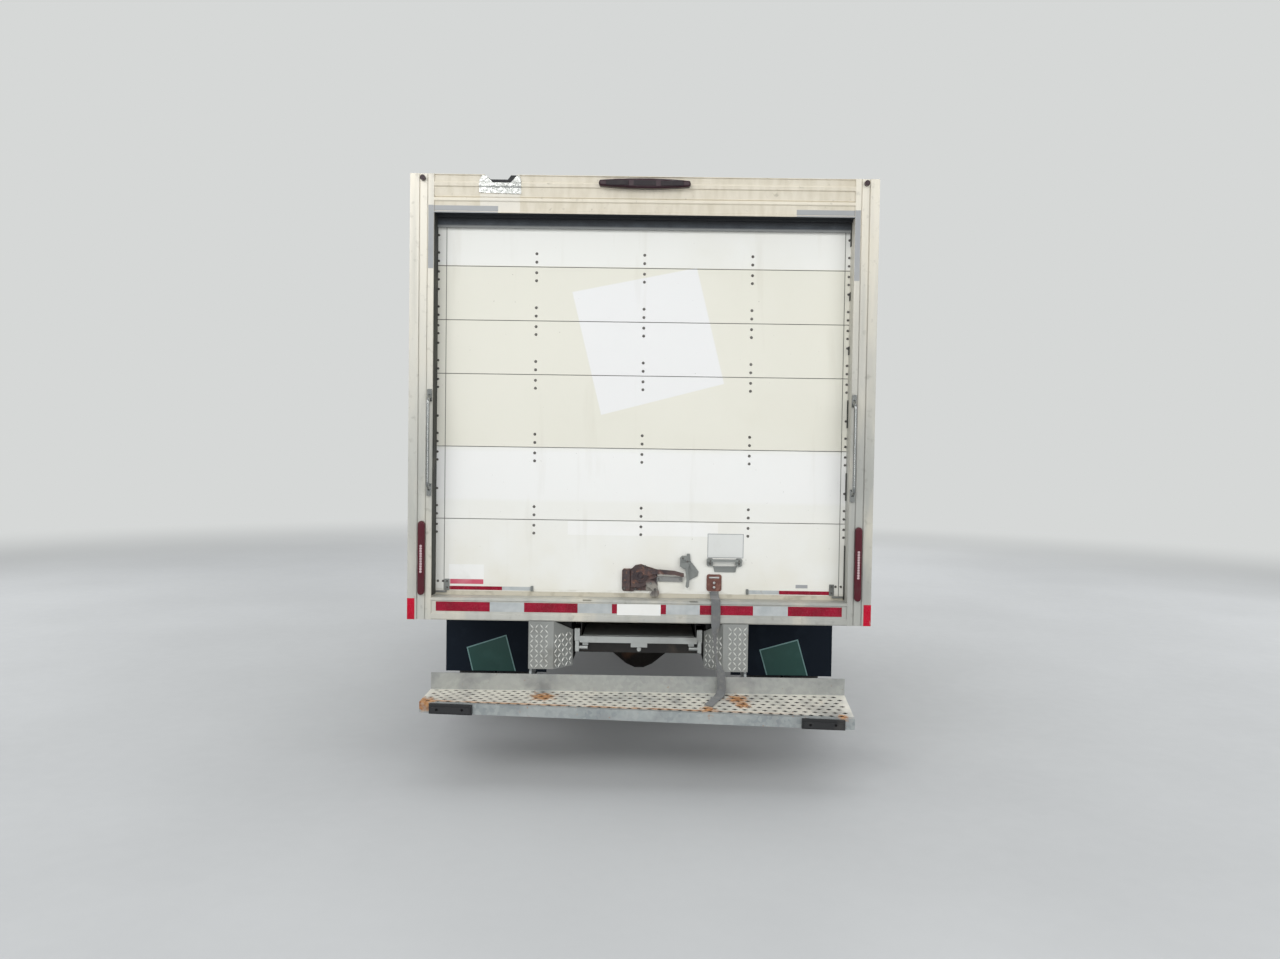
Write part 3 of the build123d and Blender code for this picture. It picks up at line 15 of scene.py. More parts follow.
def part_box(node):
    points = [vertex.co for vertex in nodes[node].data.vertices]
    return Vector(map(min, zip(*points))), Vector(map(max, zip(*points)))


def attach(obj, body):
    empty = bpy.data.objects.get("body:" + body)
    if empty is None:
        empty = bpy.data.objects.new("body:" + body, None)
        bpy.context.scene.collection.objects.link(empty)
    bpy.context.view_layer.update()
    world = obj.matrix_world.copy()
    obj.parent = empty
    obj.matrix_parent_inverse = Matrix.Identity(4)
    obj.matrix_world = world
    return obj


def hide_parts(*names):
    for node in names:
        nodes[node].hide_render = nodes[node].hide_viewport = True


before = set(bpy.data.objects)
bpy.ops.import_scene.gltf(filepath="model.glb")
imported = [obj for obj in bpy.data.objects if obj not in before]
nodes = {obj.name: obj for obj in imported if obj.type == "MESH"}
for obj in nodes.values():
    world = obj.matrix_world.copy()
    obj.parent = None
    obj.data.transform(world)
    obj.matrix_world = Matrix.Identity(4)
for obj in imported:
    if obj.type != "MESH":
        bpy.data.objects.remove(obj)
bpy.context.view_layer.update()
scene = bpy.context.scene
rear_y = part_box("rear_posts")[0].y
door_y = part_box("roll_up_door")[0].y
sill_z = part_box("rear_posts")[0].z
left_right = (("left", -1), ("right", 1))
print(f"{len(nodes)} nodes, rear face at y {rear_y:.3f}, door face at y {door_y:.3f}")

# %% [markdown]
# ## Camera
# The photographer stood five metres behind the truck with the phone at head height, nearly square on.
# A camera's matrix is its three axes and its place, so the small turns are written as angles and the
# axes are worked out from them, which is easier to correct than Euler angles.

# %% Camera
distance_behind, height_above_sill, right_of_middle = 5.0385, 0.9066, 0.0234
turn, dip, roll = 0.0052, 0.0302, 0.0145
focal_length_mm, sensor_width_mm = 27.06, 36

level_right = Vector((math.cos(turn), math.sin(turn), 0))
level_ahead = Vector((-math.sin(turn), math.cos(turn), 0))
ahead = level_ahead * math.cos(dip) - Vector((0, 0, math.sin(dip)))
above = level_ahead * math.sin(dip) + Vector((0, 0, math.cos(dip)))
right = level_right * math.cos(roll) + above * math.sin(roll)
upward = above * math.cos(roll) - level_right * math.sin(roll)
lens = bpy.data.cameras.new("camera")
lens.lens, lens.sensor_width = focal_length_mm, sensor_width_mm
camera = bpy.data.objects.new("camera", lens)
scene.collection.objects.link(camera)
place = Vector((right_of_middle, rear_y - distance_behind, sill_z + height_above_sill))
camera.matrix_world = Matrix.Translation(place) @ Matrix((right, upward, -ahead)).transposed().to_4x4()
scene.camera = camera

# %% [markdown]
# ## Light
# Large area lamps act as a studio's softboxes. A key from the upper left, a fill from the right and a
# straight one light the rear. One above and the pale world fill the shade, and lamps in front and on
# both sides keep the truck readable from every side.

# %% Light
def softbox(name, place, aim, size, power):
    """A rectangular area lamp at place that faces aim, with its size in metres and its power in watts."""
    data = bpy.data.lights.new(name, "AREA")
    data.shape = "RECTANGLE"
    data.size, data.size_y = size
    data.energy = power
    lamp = bpy.data.objects.new(name, data)
    lamp.location = place
    lamp.rotation_euler = (Vector(aim) - Vector(place)).to_track_quat("-Z", "Y").to_euler()
    scene.collection.objects.link(lamp)


softbox("rear_key", (-4.0, -10.0, 6.0), (0, -3, 1.8), (6, 4), 312)
softbox("rear_fill", (5.5, -9.5, 4.5), (0, -3, 1.4), (5, 4), 178)
softbox("rear_straight", (0, -11.5, 2.2), (0, -3, 1.9), (2.4, 2.4), 75)
softbox("overhead", (0, 0, 8.5), (0, 0, 0), (9, 12), 280)
softbox("front", (2, 11, 5), (0, 2, 1), (8, 4), 330)
softbox("left", (-9, 1, 4), (0, 0, 1.3), (9, 4), 240)
softbox("right", (9, 1, 4), (0, 0, 1.3), (9, 4), 240)

world_colour, world_strength = (0.86, 0.88, 0.90, 1), 0.58
world = bpy.data.worlds.new("studio")
world.use_nodes = True
world.node_tree.nodes["Background"].inputs["Color"].default_value = world_colour
world.node_tree.nodes["Background"].inputs["Strength"].default_value = world_strength
scene.world = world
scene.view_settings.view_transform = "Standard"

# %% [markdown]
# ## Helpers for finishes
# A finish is a stack of thin coats: base, mottling, streaks, dust. `add` makes any node and the small
# functions after it name the few nodes that every finish needs. `patches` is noise sized in metres, and
# `layered` lays the coats in order. Patterns use Object coordinates, which are metres in the truck's
# own frame for every piece.

# %% Helpers for finishes
def rgb(code):
    """The linear RGBA of an sRGB hex colour."""
    parts = [int(code[i:i + 2], 16) / 255 for i in (0, 2, 4)]
    return tuple(c / 12.92 if c <= 0.04045 else ((c + 0.055) / 1.055) ** 2.4 for c in parts) + (1,)


def add(tree, kind, links=None, out=0, **settings):
    """Adds a node with its settings, links or sets its inputs, and returns one of its outputs."""
    node = tree.nodes.new(kind)
    for key, value in settings.items():
        setattr(node, key, value)
    for key, value in (links or {}).items():
        if isinstance(value, bpy.types.NodeSocket):
            tree.links.new(value, node.inputs[key])
        else:
            node.inputs[key].default_value = value
    return node.outputs[out] if len(node.outputs) else node


def both(tree, first, second):
    """The product of two masks, which is 1 only where both are."""
    return add(tree, "ShaderNodeMath", {0: first, 1: second}, operation="MULTIPLY")


def either(tree, first, second):
    """The larger of two masks."""
    return add(tree, "ShaderNodeMath", {0: first, 1: second}, operation="MAXIMUM")


def ramp(tree, value, low=0.0, high=1.0, start=0.0, end=1.0):
    """Runs from start to end while value runs from low to high, and stays level beyond."""
    return add(tree, "ShaderNodeMapRange", {0: value, 1: low, 2: high, 3: start, 4: end})


def in_metres(tree):
    """Object coordinates."""
    return add(tree, "ShaderNodeTexCoord", out="Object")


def coordinate(tree, axis):
    """The object coordinate along one axis: 0 for X, 1 for Y, 2 for Z."""
    return add(tree, "ShaderNodeSeparateXYZ", {0: in_metres(tree)}, out=axis)


def seen(tree):
    """1 for rays from the camera, from a mirror or through glass, 0 for rays that carry light."""
    camera_ray, glossy_ray, through_ray = [add(tree, "ShaderNodeLightPath", out=f"Is {kind} Ray")
                                           for kind in ("Camera", "Glossy", "Transmission")]
    return either(tree, either(tree, camera_ray, glossy_ray), through_ray)


def patches(tree, size, low=0.35, high=0.65, stretch=(1, 1, 1), detail=6.0):
    """Soft patches about size metres across, from 0 to 1, steeper as low and high come together."""
    where = add(tree, "ShaderNodeMapping", {"Vector": in_metres(tree), "Scale": stretch})
    grain = add(tree, "ShaderNodeTexNoise", {"Vector": where, "Scale": 0.5 / size, "Detail": detail})
    return ramp(tree, grain, low, high)


def between(tree, axis, low, high, soft=0.002):
    """1 where the coordinate on an axis (0 for X, 1 for Y, 2 for Z) lies between low and high."""
    value = coordinate(tree, axis)
    rising = ramp(tree, value, low - soft, low + soft)
    return both(tree, rising, ramp(tree, value, high + soft, high - soft))


def near(tree, centre, radius):
    """1 within radius of a point, with an edge that noise makes ragged."""
    ragged = 0.9 * radius
    away = add(tree, "ShaderNodeVectorMath", {0: in_metres(tree), 1: centre}, out="Value",
               operation="DISTANCE")
    grain = add(tree, "ShaderNodeTexNoise", {"Vector": in_metres(tree), "Scale": 3.0 / radius, "Detail": 6.0})
    push = ramp(tree, grain, start=-ragged, end=ragged)
    edge = add(tree, "ShaderNodeMath", {0: away, 1: push}, operation="ADD")
    return ramp(tree, edge, radius, radius * 0.4)


def layered(tree, base, *coats):
    """Lays coats over a base colour. A coat is its hex colour, its strength and the masks it keeps to."""
    colour = rgb(base) if isinstance(base, str) else base
    for tint, strength, *masks in coats:
        for mask in masks:
            strength = both(tree, mask, strength)
        colour = add(tree, "ShaderNodeMix", {0: strength, 6: colour, 7: rgb(tint)}, out=2, data_type="RGBA")
    return colour


def new_finish(name, metal=0.0, **sockets):
    """A new material with its tree and shader. Each socket is a value that is the same all over."""
    material = bpy.data.materials.new(name)
    material.use_nodes = True
    shader = material.node_tree.nodes["Principled BSDF"]
    shader.inputs["Metallic"].default_value = metal
    for key, value in sockets.items():
        shader.inputs[key.replace("_", " ")].default_value = value
    return material, material.node_tree, shader


def surface(tree, shader, colour, height, rough, depth):
    """Links a colour, a roughness between two values that follows height, and a bump depth metres deep."""
    tree.links.new(colour, shader.inputs["Base Color"])
    tree.links.new(ramp(tree, height, start=rough[0], end=rough[1]), shader.inputs["Roughness"])
    bump = add(tree, "ShaderNodeBump", {"Height": height, "Distance": depth, "Strength": 0.6})
    tree.links.new(bump, shader.inputs["Normal"])

# %% [markdown]
# ## Backdrop
# What the camera sees behind the truck is one plain pale colour, like a paper roll. The world still
# lights the truck as set above: Light Path tells the rays that look from the rays that light.

# %% Backdrop
backdrop = "D6D8D7"
sky = world.node_tree
paper = add(sky, "ShaderNodeBackground", {"Color": rgb(backdrop), "Strength": 1.0})
chosen = add(sky, "ShaderNodeMixShader", {0: seen(sky), 1: sky.nodes["Background"].outputs[0], 2: paper})
sky.links.new(chosen, sky.nodes["World Output"].inputs["Surface"])

# %% [markdown]
# ## Painted, moulded and cast finishes
# Most of the truck is one of these: a coat of paint or a moulded skin, mottled at arm's length, streaked
# by rain, with dust held low down and a fine grain that breaks up the gloss. One function makes them
# from a row of values each, so that the rows can be compared.

# %% Painted, moulded and cast finishes
finish = {}


def worn(key, name, tones, rough, metal, grain, depth, streaks, dirt, dust=None, **sockets):
    """A material kept as finish[key], from its base and darker tone and the two ends of its roughness.

    grain and depth: size of the fine bumps in metres. streaks: strength. dirt: colour and strength.
    dust: the heights between which road dust fades out."""
    material, tree, shader = new_finish(name, metal, **sockets)
    height = patches(tree, grain, 0.25, 0.75)
    colour = layered(tree, tones[0], (tones[1], 1.0, patches(tree, 0.25, 0.3, 0.7)),
                     (tones[1], streaks, patches(tree, 0.05, 0.5, 0.75, (1, 1, 0.08))),
                     (dirt[0], dirt[1], patches(tree, 0.06, 0.55, 0.72, detail=9.0)))
    if dust:
        low_down = ramp(tree, coordinate(tree, 2), dust[1], dust[0])
        colour = layered(tree, colour, (dirt[0], 0.7, low_down, patches(tree, 0.08, 0.3, 0.7)))
    surface(tree, shader, colour, height, rough, depth)
    finish[key] = material


# Gel-coated glass-fibre panel: smooth, slightly waxy white that chalks a little.
worn("gel_coat", "gel_coated_panel", ("DFDFD9", "D7D7D0"), (0.45, 0.6), 0.0, 0.006, 0.0002, 0.25,
     ("A8A294", 0.12), (0.82, 1.1), Specular_IOR_Level=0.25)
# The roof is the same panel, but sun and rain have chalked it to a matt film with black specks.
worn("roof", "chalked_roof_panel", ("D4D4CE", "C9C9C2"), (0.75, 0.9), 0.0, 0.006, 0.0004, 0.25,
     ("8F8B80", 0.25), Specular_IOR_Level=0.08)
# Baked enamel on pressed steel: harder and glossier than the panels.
worn("enamel", "baked_white_enamel", ("DFDFDB", "D9D9D5"), (0.3, 0.42), 0.0, 0.003, 0.00008, 0.1,
     ("A09A8B", 0.08), (0.42, 0.75), Coat_Weight=0.3, Coat_Roughness=0.15)
# Mill-finish aluminium trim: bright and satin.
worn("rail", "mill_finish_aluminium", ("BDBFBE", "A2A4A3"), (0.3, 0.42), 0.8, 0.001, 0.0001, 0.3,
     ("77746B", 0.2))
# Rolled aluminium tread plate; its raised lozenges take a much paler copy of this finish, a painted highlight
# on their tops.
worn("tread_plate", "aluminium_tread_plate", ("9C9E9B", "7E807D"), (0.35, 0.5), 0.45, 0.002, 0.0001, 0.35,
     ("5C584E", 0.4))
worn("lozenge", "lozenge_tops_painted_highlight", ("DEDFDA", "C6C7C2"), (0.3, 0.42), 0.35, 0.002, 0.0001, 0.1,
     ("7C776A", 0.2))
# Extruded ramp planks, oxidised and dirty.
worn("ramp", "oxidised_ramp_extrusion", ("B4B7B5", "939694"), (0.38, 0.52), 0.7, 0.002, 0.0001, 0.3,
     ("5F5B52", 0.35))
# Waxed chassis black: satin, dusted brown by the road.
worn("chassis", "waxed_chassis_black", ("1F2022", "2B2A28"), (0.45, 0.6), 0.0, 0.004, 0.0004, 0.2,
     ("5B5145", 0.6), (0.3, 0.75))
# Bare cast iron under the truck: brown, coarse and matt, its tones darkened as painted shade for the shadow
# under the truck.
worn("cast", "cast_iron_darkened_as_shade", ("38302A", "25211D"), (0.65, 0.85), 0.15, 0.003, 0.001, 0.2,
     ("6E4C35", 0.6))
# Cast aluminium engine: grey with oil stains.
worn("engine", "cast_aluminium", ("7E7F7E", "56544F"), (0.45, 0.6), 0.6, 0.003, 0.0008, 0.2,
     ("3B362F", 0.6))
# Grained ABS: near black, low sheen, a leather-like grain of about a millimetre.
worn("abs", "grained_abs", ("26272A", "1C1D1F"), (0.45, 0.6), 0.0, 0.0012, 0.0002, 0.1,
     ("5A584F", 0.12), (0.4, 0.9))
# Rotomoulded polyethylene tank.
worn("tank", "moulded_polyethylene", ("17181A", "222324"), (0.45, 0.55), 0.0, 0.003, 0.0003, 0.1,
     ("5F574A", 0.5))
# Mud flaps of reinforced rubber, blue-black with pale water marks.
worn("flap", "mud_flap_rubber", ("0F1822", "131D29"), (0.6, 0.75), 0.0, 0.002, 0.0002, 0.3,
     ("2C3742", 0.2), Specular_IOR_Level=0.15)
# Solid moulded rubber, greyed on its corners.
worn("rubber", "moulded_black_rubber", ("18191B", "232426"), (0.6, 0.75), 0.0, 0.002, 0.0003, 0.1,
     ("5A5752", 0.3))
# Drawn stainless tube of the grab handles.
worn("stainless", "drawn_stainless", ("999B9A", "7B7D7C"), (0.16, 0.28), 1.0, 0.002, 0.00005, 0.2,
     ("6C6A64", 0.12))
# Powder-coated steel wheels under brake dust.
worn("wheel", "powder_coated_wheel", ("C9C9C5", "A8A7A1"), (0.35, 0.5), 0.0, 0.002, 0.0001, 0.1,
     ("5E5044", 0.5))
# Cured tyre rubber: charcoal, matt, a little brown.
worn("tyre", "cured_tyre_rubber", ("1E1E1F", "272625"), (0.65, 0.85), 0.0, 0.003, 0.0004, 0.1,
     ("4E483F", 0.45), Sheen_Weight=0.1)
print(f"{len(finish)} painted, moulded and cast finishes")

# %% [markdown]
# ## Finishes that need their own recipe
# Zinc, rust, glass, lamps, tape and cloth each have one thing that gives them away: flat spangles,
# layered flakes, a dusty film, moulded ribs, a grid of tiny prisms, threads. Each function builds that
# one thing and then lays the dirt over it.

# %% Hot-dip galvanised steel
def galvanised(name, rusty, scuffed):
    """Zinc that froze in flat spangles a finger wide, with rust round the given (centre, radius) places.

    scuffed: the Y range that boots have worn pale, with a rusty rear edge; the upright walls of its slots are
    painted near black as painted shade."""
    material, tree, shader = new_finish(name)
    worn_zone = between(tree, 1, *scuffed, 0.004)
    cells = add(tree, "ShaderNodeTexVoronoi", {"Vector": in_metres(tree), "Scale": 1 / 0.018}, out="Color")
    spangle = add(tree, "ShaderNodeSeparateColor", {0: cells})
    rust = both(tree, patches(tree, 0.012, 0.66, 0.72, detail=9.0), 0.5)
    for centre, radius in rusty:
        rust = either(tree, rust, near(tree, centre, radius))
    edge = both(tree, between(tree, 1, scuffed[0], scuffed[0] + 0.018, 0.008),
                patches(tree, 0.03, 0.34, 0.52, (0.5, 1, 1)))
    rust = either(tree, rust, both(tree, edge, between(tree, 0, -2, 0.55, 0.3)))
    # Upright faces in the scuffed range, the walls of the slots, get a near black coat: painted shade for the
    # dark seen through the slots.
    facing = add(tree, "ShaderNodeNewGeometry", out="Normal")
    tilt = add(tree, "ShaderNodeSeparateXYZ", {0: facing}, out=2)
    upright = ramp(tree, add(tree, "ShaderNodeMath", {0: tilt}, operation="ABSOLUTE"), 0.5, 0.3)
    colour = layered(tree, "A2A7A6", ("858C8E", 0.8, spangle), ("B2B6B4", 0.6, patches(tree, 0.12, 0.4, 0.7)),
                     ("F0ECE0", 0.92, worn_zone, patches(tree, 0.09, 0.1, 0.5)),
                     ("75777A", 0.5, patches(tree, 0.07, 0.52, 0.72, detail=9.0)), ("B98A5C", 1.0, rust),
                     ("7A4A2C", 0.75, rust, patches(tree, 0.009, 0.42, 0.62)),
                     ("26221C", 0.96, worn_zone, upright))
    tree.links.new(ramp(tree, rust, start=0.4, end=0.0), shader.inputs["Metallic"])
    surface(tree, shader, colour, rust, (0.42, 0.85), 0.0008)
    return material


rear_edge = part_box("step_bumper")[0].y
tread_top = 0.44
# columns: x and y of the middle of a patch of rust, its depth under tread_top, and its radius
rust_spots = ((-0.485, rear_y - 0.13, 0, 0.078), (-1.06, rear_edge + 0.03, 0, 0.07),
              (0.52, rear_y - 0.10, 0.02, 0.07), (0.54, rear_y - 0.17, 0.03, 0.05),
              (0.36, rear_edge + 0.05, 0.035, 0.05), (1.03, rear_edge + 0.02, 0.05, 0.03))
rust_places = [(Vector((x, y, tread_top - down)), radius) for x, y, down, radius in rust_spots]
finish["bumper"] = galvanised("galvanised_step", rust_places, (rear_edge + 0.022, rear_y - 0.027))

# %% Rusty iron, grey castings, foil
def rusty_iron():
    """Forged latch iron: brown layers that flake, with paler zinc left in places and worn edges."""
    material, tree, shader = new_finish("flaking_latch_iron", 0.1)
    zinc = both(tree, between(tree, 0, 0.094, 0.236), between(tree, 2, 1.004, 1.0345))
    claw = both(tree, between(tree, 0, 0.036, 0.112), between(tree, 2, 0.92, 1.002, 0.01))
    bracket = both(tree, between(tree, 0, 0.355, 0.445), between(tree, 2, 0.95, 1.055))
    colour = layered(tree, "5A4A47", ("41383A", 1.0, patches(tree, 0.03, 0.35, 0.6)),
                     ("7C5648", 0.7, patches(tree, 0.02, 0.5, 0.66)),
                     ("A07252", 0.5, patches(tree, 0.008, 0.62, 0.7)),
                     ("A39A92", 0.5, patches(tree, 0.02, 0.62, 0.7)), ("8F908E", 0.9, zinc),
                     ("98968E", 0.8, claw, patches(tree, 0.02, 0.3, 0.55)), ("6E463D", 0.85, bracket),
                     ("9B7466", 0.5, bracket, patches(tree, 0.02, 0.5, 0.65)))
    surface(tree, shader, colour, patches(tree, 0.006, 0.3, 0.7), (0.65, 0.9), 0.0015)
    return material


finish["latch_iron"] = rusty_iron()
# Zinc die-cast handle and keeper: grey, satin, black in the corners.
worn("casting", "zinc_casting", ("8A8D8A", "6C6F6D"), (0.35, 0.55), 0.5, 0.003, 0.0004, 0.3,
     ("4A453D", 0.55))
# Crumpled aluminium foil tape over the dent.
worn("foil", "aluminium_foil_tape", ("E0E1DD", "A3A5A2"), (0.2, 0.42), 0.85, 0.012, 0.003, 0.0,
     ("6F6F6B", 0.25))
# Head of a coach bolt: dull zinc darkened by oil.
worn("bolt", "oiled_bolt_zinc", ("6E6C68", "4A4845"), (0.4, 0.6), 0.5, 0.003, 0.0002, 0.0,
     ("3A2C22", 0.4))
# Pop rivet: bright aluminium.
worn("rivet", "rivet_aluminium", ("C9CAC8", "A9AAA8"), (0.3, 0.45), 0.6, 0.002, 0.0001, 0.0,
     ("8A8578", 0.3))

# %% The door's gel coat
panel_joints = (1.329, 1.716, 2.103, 2.388, 2.673)


def door_skin():
    """White plywood door: yellowed panels, a paler square where a sign was, a wiped band, grime low down."""
    material, tree, shader = new_finish("sun_yellowed_gel_coat", 0.0, Specular_IOR_Level=0.3)
    corners = [(-0.377, 2.543), (0.283, 2.679), (0.437, 2.067), (-0.216, 1.893)]
    sign = []
    for (x0, z0), (x1, z1) in zip(corners, corners[1:] + corners[:1]):
        inward = Vector((z1 - z0, 0, x0 - x1)).normalized()
        reach = add(tree, "ShaderNodeVectorMath", {0: in_metres(tree), 1: inward}, out="Value",
                    operation="DOT_PRODUCT")
        edge = inward.x * x0 + inward.z * z0
        sign.append(ramp(tree, reach, edge - 0.003, edge + 0.003))
    lines = [between(tree, 2, z - 0.0022, z + 0.0016, 0.0008) for z in panel_joints]
    lines += [between(tree, 0, x - 0.0018, x + 0.0018, 0.0008) for x in (-1.047, 1.068)]
    yellowed = between(tree, 2, 1.717, 2.677)
    grime = ramp(tree, coordinate(tree, 2), 1.5, 0.95)
    colour = layered(tree, "E7E7E2", ("DEDCCF", 0.9, yellowed),
                     ("E3E1D5", 0.6, yellowed, patches(tree, 0.3, 0.3, 0.7)),
                     ("D8D5C6", 0.35, patches(tree, 0.5, 0.45, 0.7), patches(tree, 0.1)),
                     ("E6E6E5", 1.0, *sign), ("EAEAE8", 0.8, between(tree, 2, 1.431, 1.698, 0.01)),
                     ("EDEDEB", 0.8, between(tree, 2, 1.250, 1.324), between(tree, 0, -0.386, 0.418)),
                     ("D9D3BF", 0.5, grime, patches(tree, 0.12, 0.35, 0.75)),
                     ("B9B3A0", 0.25, patches(tree, 0.05, 0.6, 0.8, (1, 1, 0.1))),
                     ("7A7568", 0.45, patches(tree, 0.008, 0.72, 0.76, detail=9.0)),
                     ("B5AF9F", 0.5, patches(tree, 0.012, 0.45, 0.6, (0.25, 1, 1)),
                      between(tree, 2, 0.942, 0.952, 0.006)),
                     *[("4C4A45", 0.85, line) for line in lines])
    surface(tree, shader, colour, patches(tree, 0.15, 0.2, 0.8), (0.4, 0.5), 0.003)
    return material


finish["door"] = door_skin()

# %% The posts, paler where they are high and sheltered
def post_skin():
    """Extruded post: cream clear coat left near the top, bare grey metal with long streaks below."""
    material, tree, shader = new_finish("weathered_post_extrusion", 0.15)
    high = ramp(tree, coordinate(tree, 2), 1.6, 3.1)
    right_side = ramp(tree, coordinate(tree, 0), -0.5, 0.5)
    colour = layered(tree, "B9B9B2", ("A0A19C", 0.75, right_side), ("E2DCCE", 0.9, high),
                     ("9B9B94", 0.5, patches(tree, 0.03, 0.45, 0.75, (1, 1, 0.06))),
                     ("D9D2C0", 0.5, patches(tree, 0.06, 0.5, 0.7, (1, 1, 0.2))),
                     ("6E6A5E", 0.35, patches(tree, 0.02, 0.6, 0.75, detail=9.0)))
    surface(tree, shader, colour, patches(tree, 0.002, 0.2, 0.8), (0.36, 0.52), 0.0002)
    return material


finish["post"] = post_skin()

# %% The header, with its soffit and the torn rib
def header_skin():
    """Header extrusion: cream clear coat, brushed upright; painted highlight on its ridges, painted shade
    under it and in the tear.
    """
    material, tree, shader = new_finish("coated_header_extrusion", 0.05, Specular_IOR_Level=0.35)
    fine = patches(tree, 0.003, 0.2, 0.8, (1.5, 1, 0.5))
    inside = both(tree, between(tree, 1, rear_y + 0.0155, rear_y + 0.03), between(tree, 2, 3.08, 3.14))
    colour = layered(tree, "D6CFBF", ("C6BEAB", 0.8, patches(tree, 0.02, 0.4, 0.7, (1, 1, 0.3))),
                     # Paler bands along the tops of the two ridges: painted highlight where they catch the
                     # light from above.
                     ("E4DDCC", 0.6, between(tree, 2, 2.99, 3.018, 0.001)),
                     ("E4DDCC", 0.6, between(tree, 2, 3.085, 3.094, 0.001)),
                     ("C3B9A4", 0.6, patches(tree, 0.15, 0.5, 0.8)),
                     ("8A8474", 0.4, patches(tree, 0.015, 0.66, 0.74, detail=9.0)),
                     ("DCD8CE", 0.8, between(tree, 0, -0.856, -0.648), between(tree, 2, 2.936, 3.031)),
                     # Near black inside the tear and on the soffit under the header: painted shade.
                     ("1D1F22", 1.0, inside, between(tree, 0, -0.85, -0.64)),
                     ("23262B", 1.0, between(tree, 2, 2.90, 2.9306, 0.0003)))
    surface(tree, shader, colour, fine, (0.42, 0.58), 0.0002)
    return material


finish["header"] = header_skin()

# %% Cargo floor of laminated oak
def floor_boards():
    """Oak strips glued side by side, each a thumb wide and a little different in tone."""
    material, tree, shader = new_finish("laminated_oak")
    strips = add(tree, "ShaderNodeTexBrick", {
        "Vector": in_metres(tree), "Color1": rgb("9C7A52"), "Color2": rgb("84643F"), "Mortar": rgb("3E3126"),
        "Scale": 1.0, "Mortar Size": 0.0008, "Brick Width": 0.032, "Row Height": 1.1})
    grain = patches(tree, 0.01, 0.3, 0.7, (3, 0.2, 1))
    surface(tree, shader, layered(tree, strips, ("6A4E33", 0.35, grain)), grain, (0.5, 0.65), 0.0005)
    return material


finish["floor"] = floor_boards()

# %% Lamps and glass
wave_scale = 0.314  # a wave texture of this scale repeats about once a metre


def moulded_lens(name, tone, dark, pitch, high_up=None, **sockets):
    """Moulded plastic with upright ribs, pitch metres apart. high_up: a coat for what is over 2.8 m."""
    material, tree, shader = new_finish(name, 0.0, **{"Specular_IOR_Level": 0.3, **sockets})
    ribs = add(tree, "ShaderNodeTexWave", {"Vector": in_metres(tree), "Scale": wave_scale / pitch}, out="Fac")
    colour = layered(tree, tone, (dark, 1.0, ribs), ("4A4540", 0.25, patches(tree, 0.03, 0.5, 0.8)))
    if high_up:
        colour = layered(tree, colour, (*high_up, between(tree, 2, 2.8, 3.2)))
    surface(tree, shader, colour, ribs, (0.12, 0.2), 0.0006)
    return material


finish["red_lens"] = moulded_lens("red_acrylic_lens", "5E1A28", "3E0F1A", 0.004, ("27131C", 0.9))
finish["dark_lens"] = moulded_lens("smoked_red_lens", "1F141B", "150B12", 0.004, Specular_IOR_Level=0.2)
finish["small_lens"] = moulded_lens("dark_red_lens", "5A2228", "36141A", 0.004)
finish["amber_lens"] = moulded_lens("amber_acrylic_lens", "C8701A", "96500F", 0.004)
finish["clear_lens"] = moulded_lens("clear_polycarbonate_lens", "B4B8BB", "93989C", 0.012)
finish["headlamp"] = moulded_lens("fluted_headlamp_glass", "B9BFC4", "8B9299", 0.006, Coat_Weight=0.8,
                                  Coat_Roughness=0.03)
finish["led"] = moulded_lens("frosted_led_window", "DDC6C8", "B79BA0", 0.003)


def glazing(name, tint, **sockets):
    """Float glass with a faint green body and a film of dust that dulls it in patches."""
    material, tree, shader = new_finish(name, 0.0, IOR=1.5, **sockets)
    dust = patches(tree, 0.05, 0.45, 0.9, detail=9.0)
    surface(tree, shader, layered(tree, tint, ("A8ADA9", 0.2, dust)), dust, (0.02, 0.12), 0.00002)
    return material


finish["glass"] = glazing("tinted_float_glass", "9DB0A8", Transmission_Weight=0.9)
worn("mirror_glass", "silvered_mirror_glass", ("CDD2D4", "C2C8CA"), (0.03, 0.08), 1.0, 0.02, 0.0, 0.1,
     ("8E8F8A", 0.1))

# %% Reflective tape, labels and rubber seals
def prismatic_tape(name, tone, dark):
    """Retroreflective tape: a grid of tiny prisms, pale weld lines between cells, scuffed at its edges."""
    material, tree, shader = new_finish(name, 0.0, Specular_IOR_Level=0.08)
    cells = add(tree, "ShaderNodeTexVoronoi", {"Vector": in_metres(tree), "Scale": 1 / 0.006},
                feature="DISTANCE_TO_EDGE")
    weld = ramp(tree, cells, 0.12, 0.04)
    colour = layered(tree, tone, (dark, 1.0, patches(tree, 0.03)), ("D8B8BC", 0.05, weld),
                     ("A39B90", 0.35, patches(tree, 0.02, 0.66, 0.72, detail=9.0)))
    surface(tree, shader, colour, weld, (0.25, 0.35), 0.0002)
    return material


finish["tape_red"] = prismatic_tape("red_prismatic_tape", "981230", "7F0F26")
finish["tape_bright"] = prismatic_tape("bright_red_corner_tape", "BE0A30", "AC0829")
finish["tape_silver"] = prismatic_tape("silver_prismatic_tape", "BBC0C0", "AAB0B1")
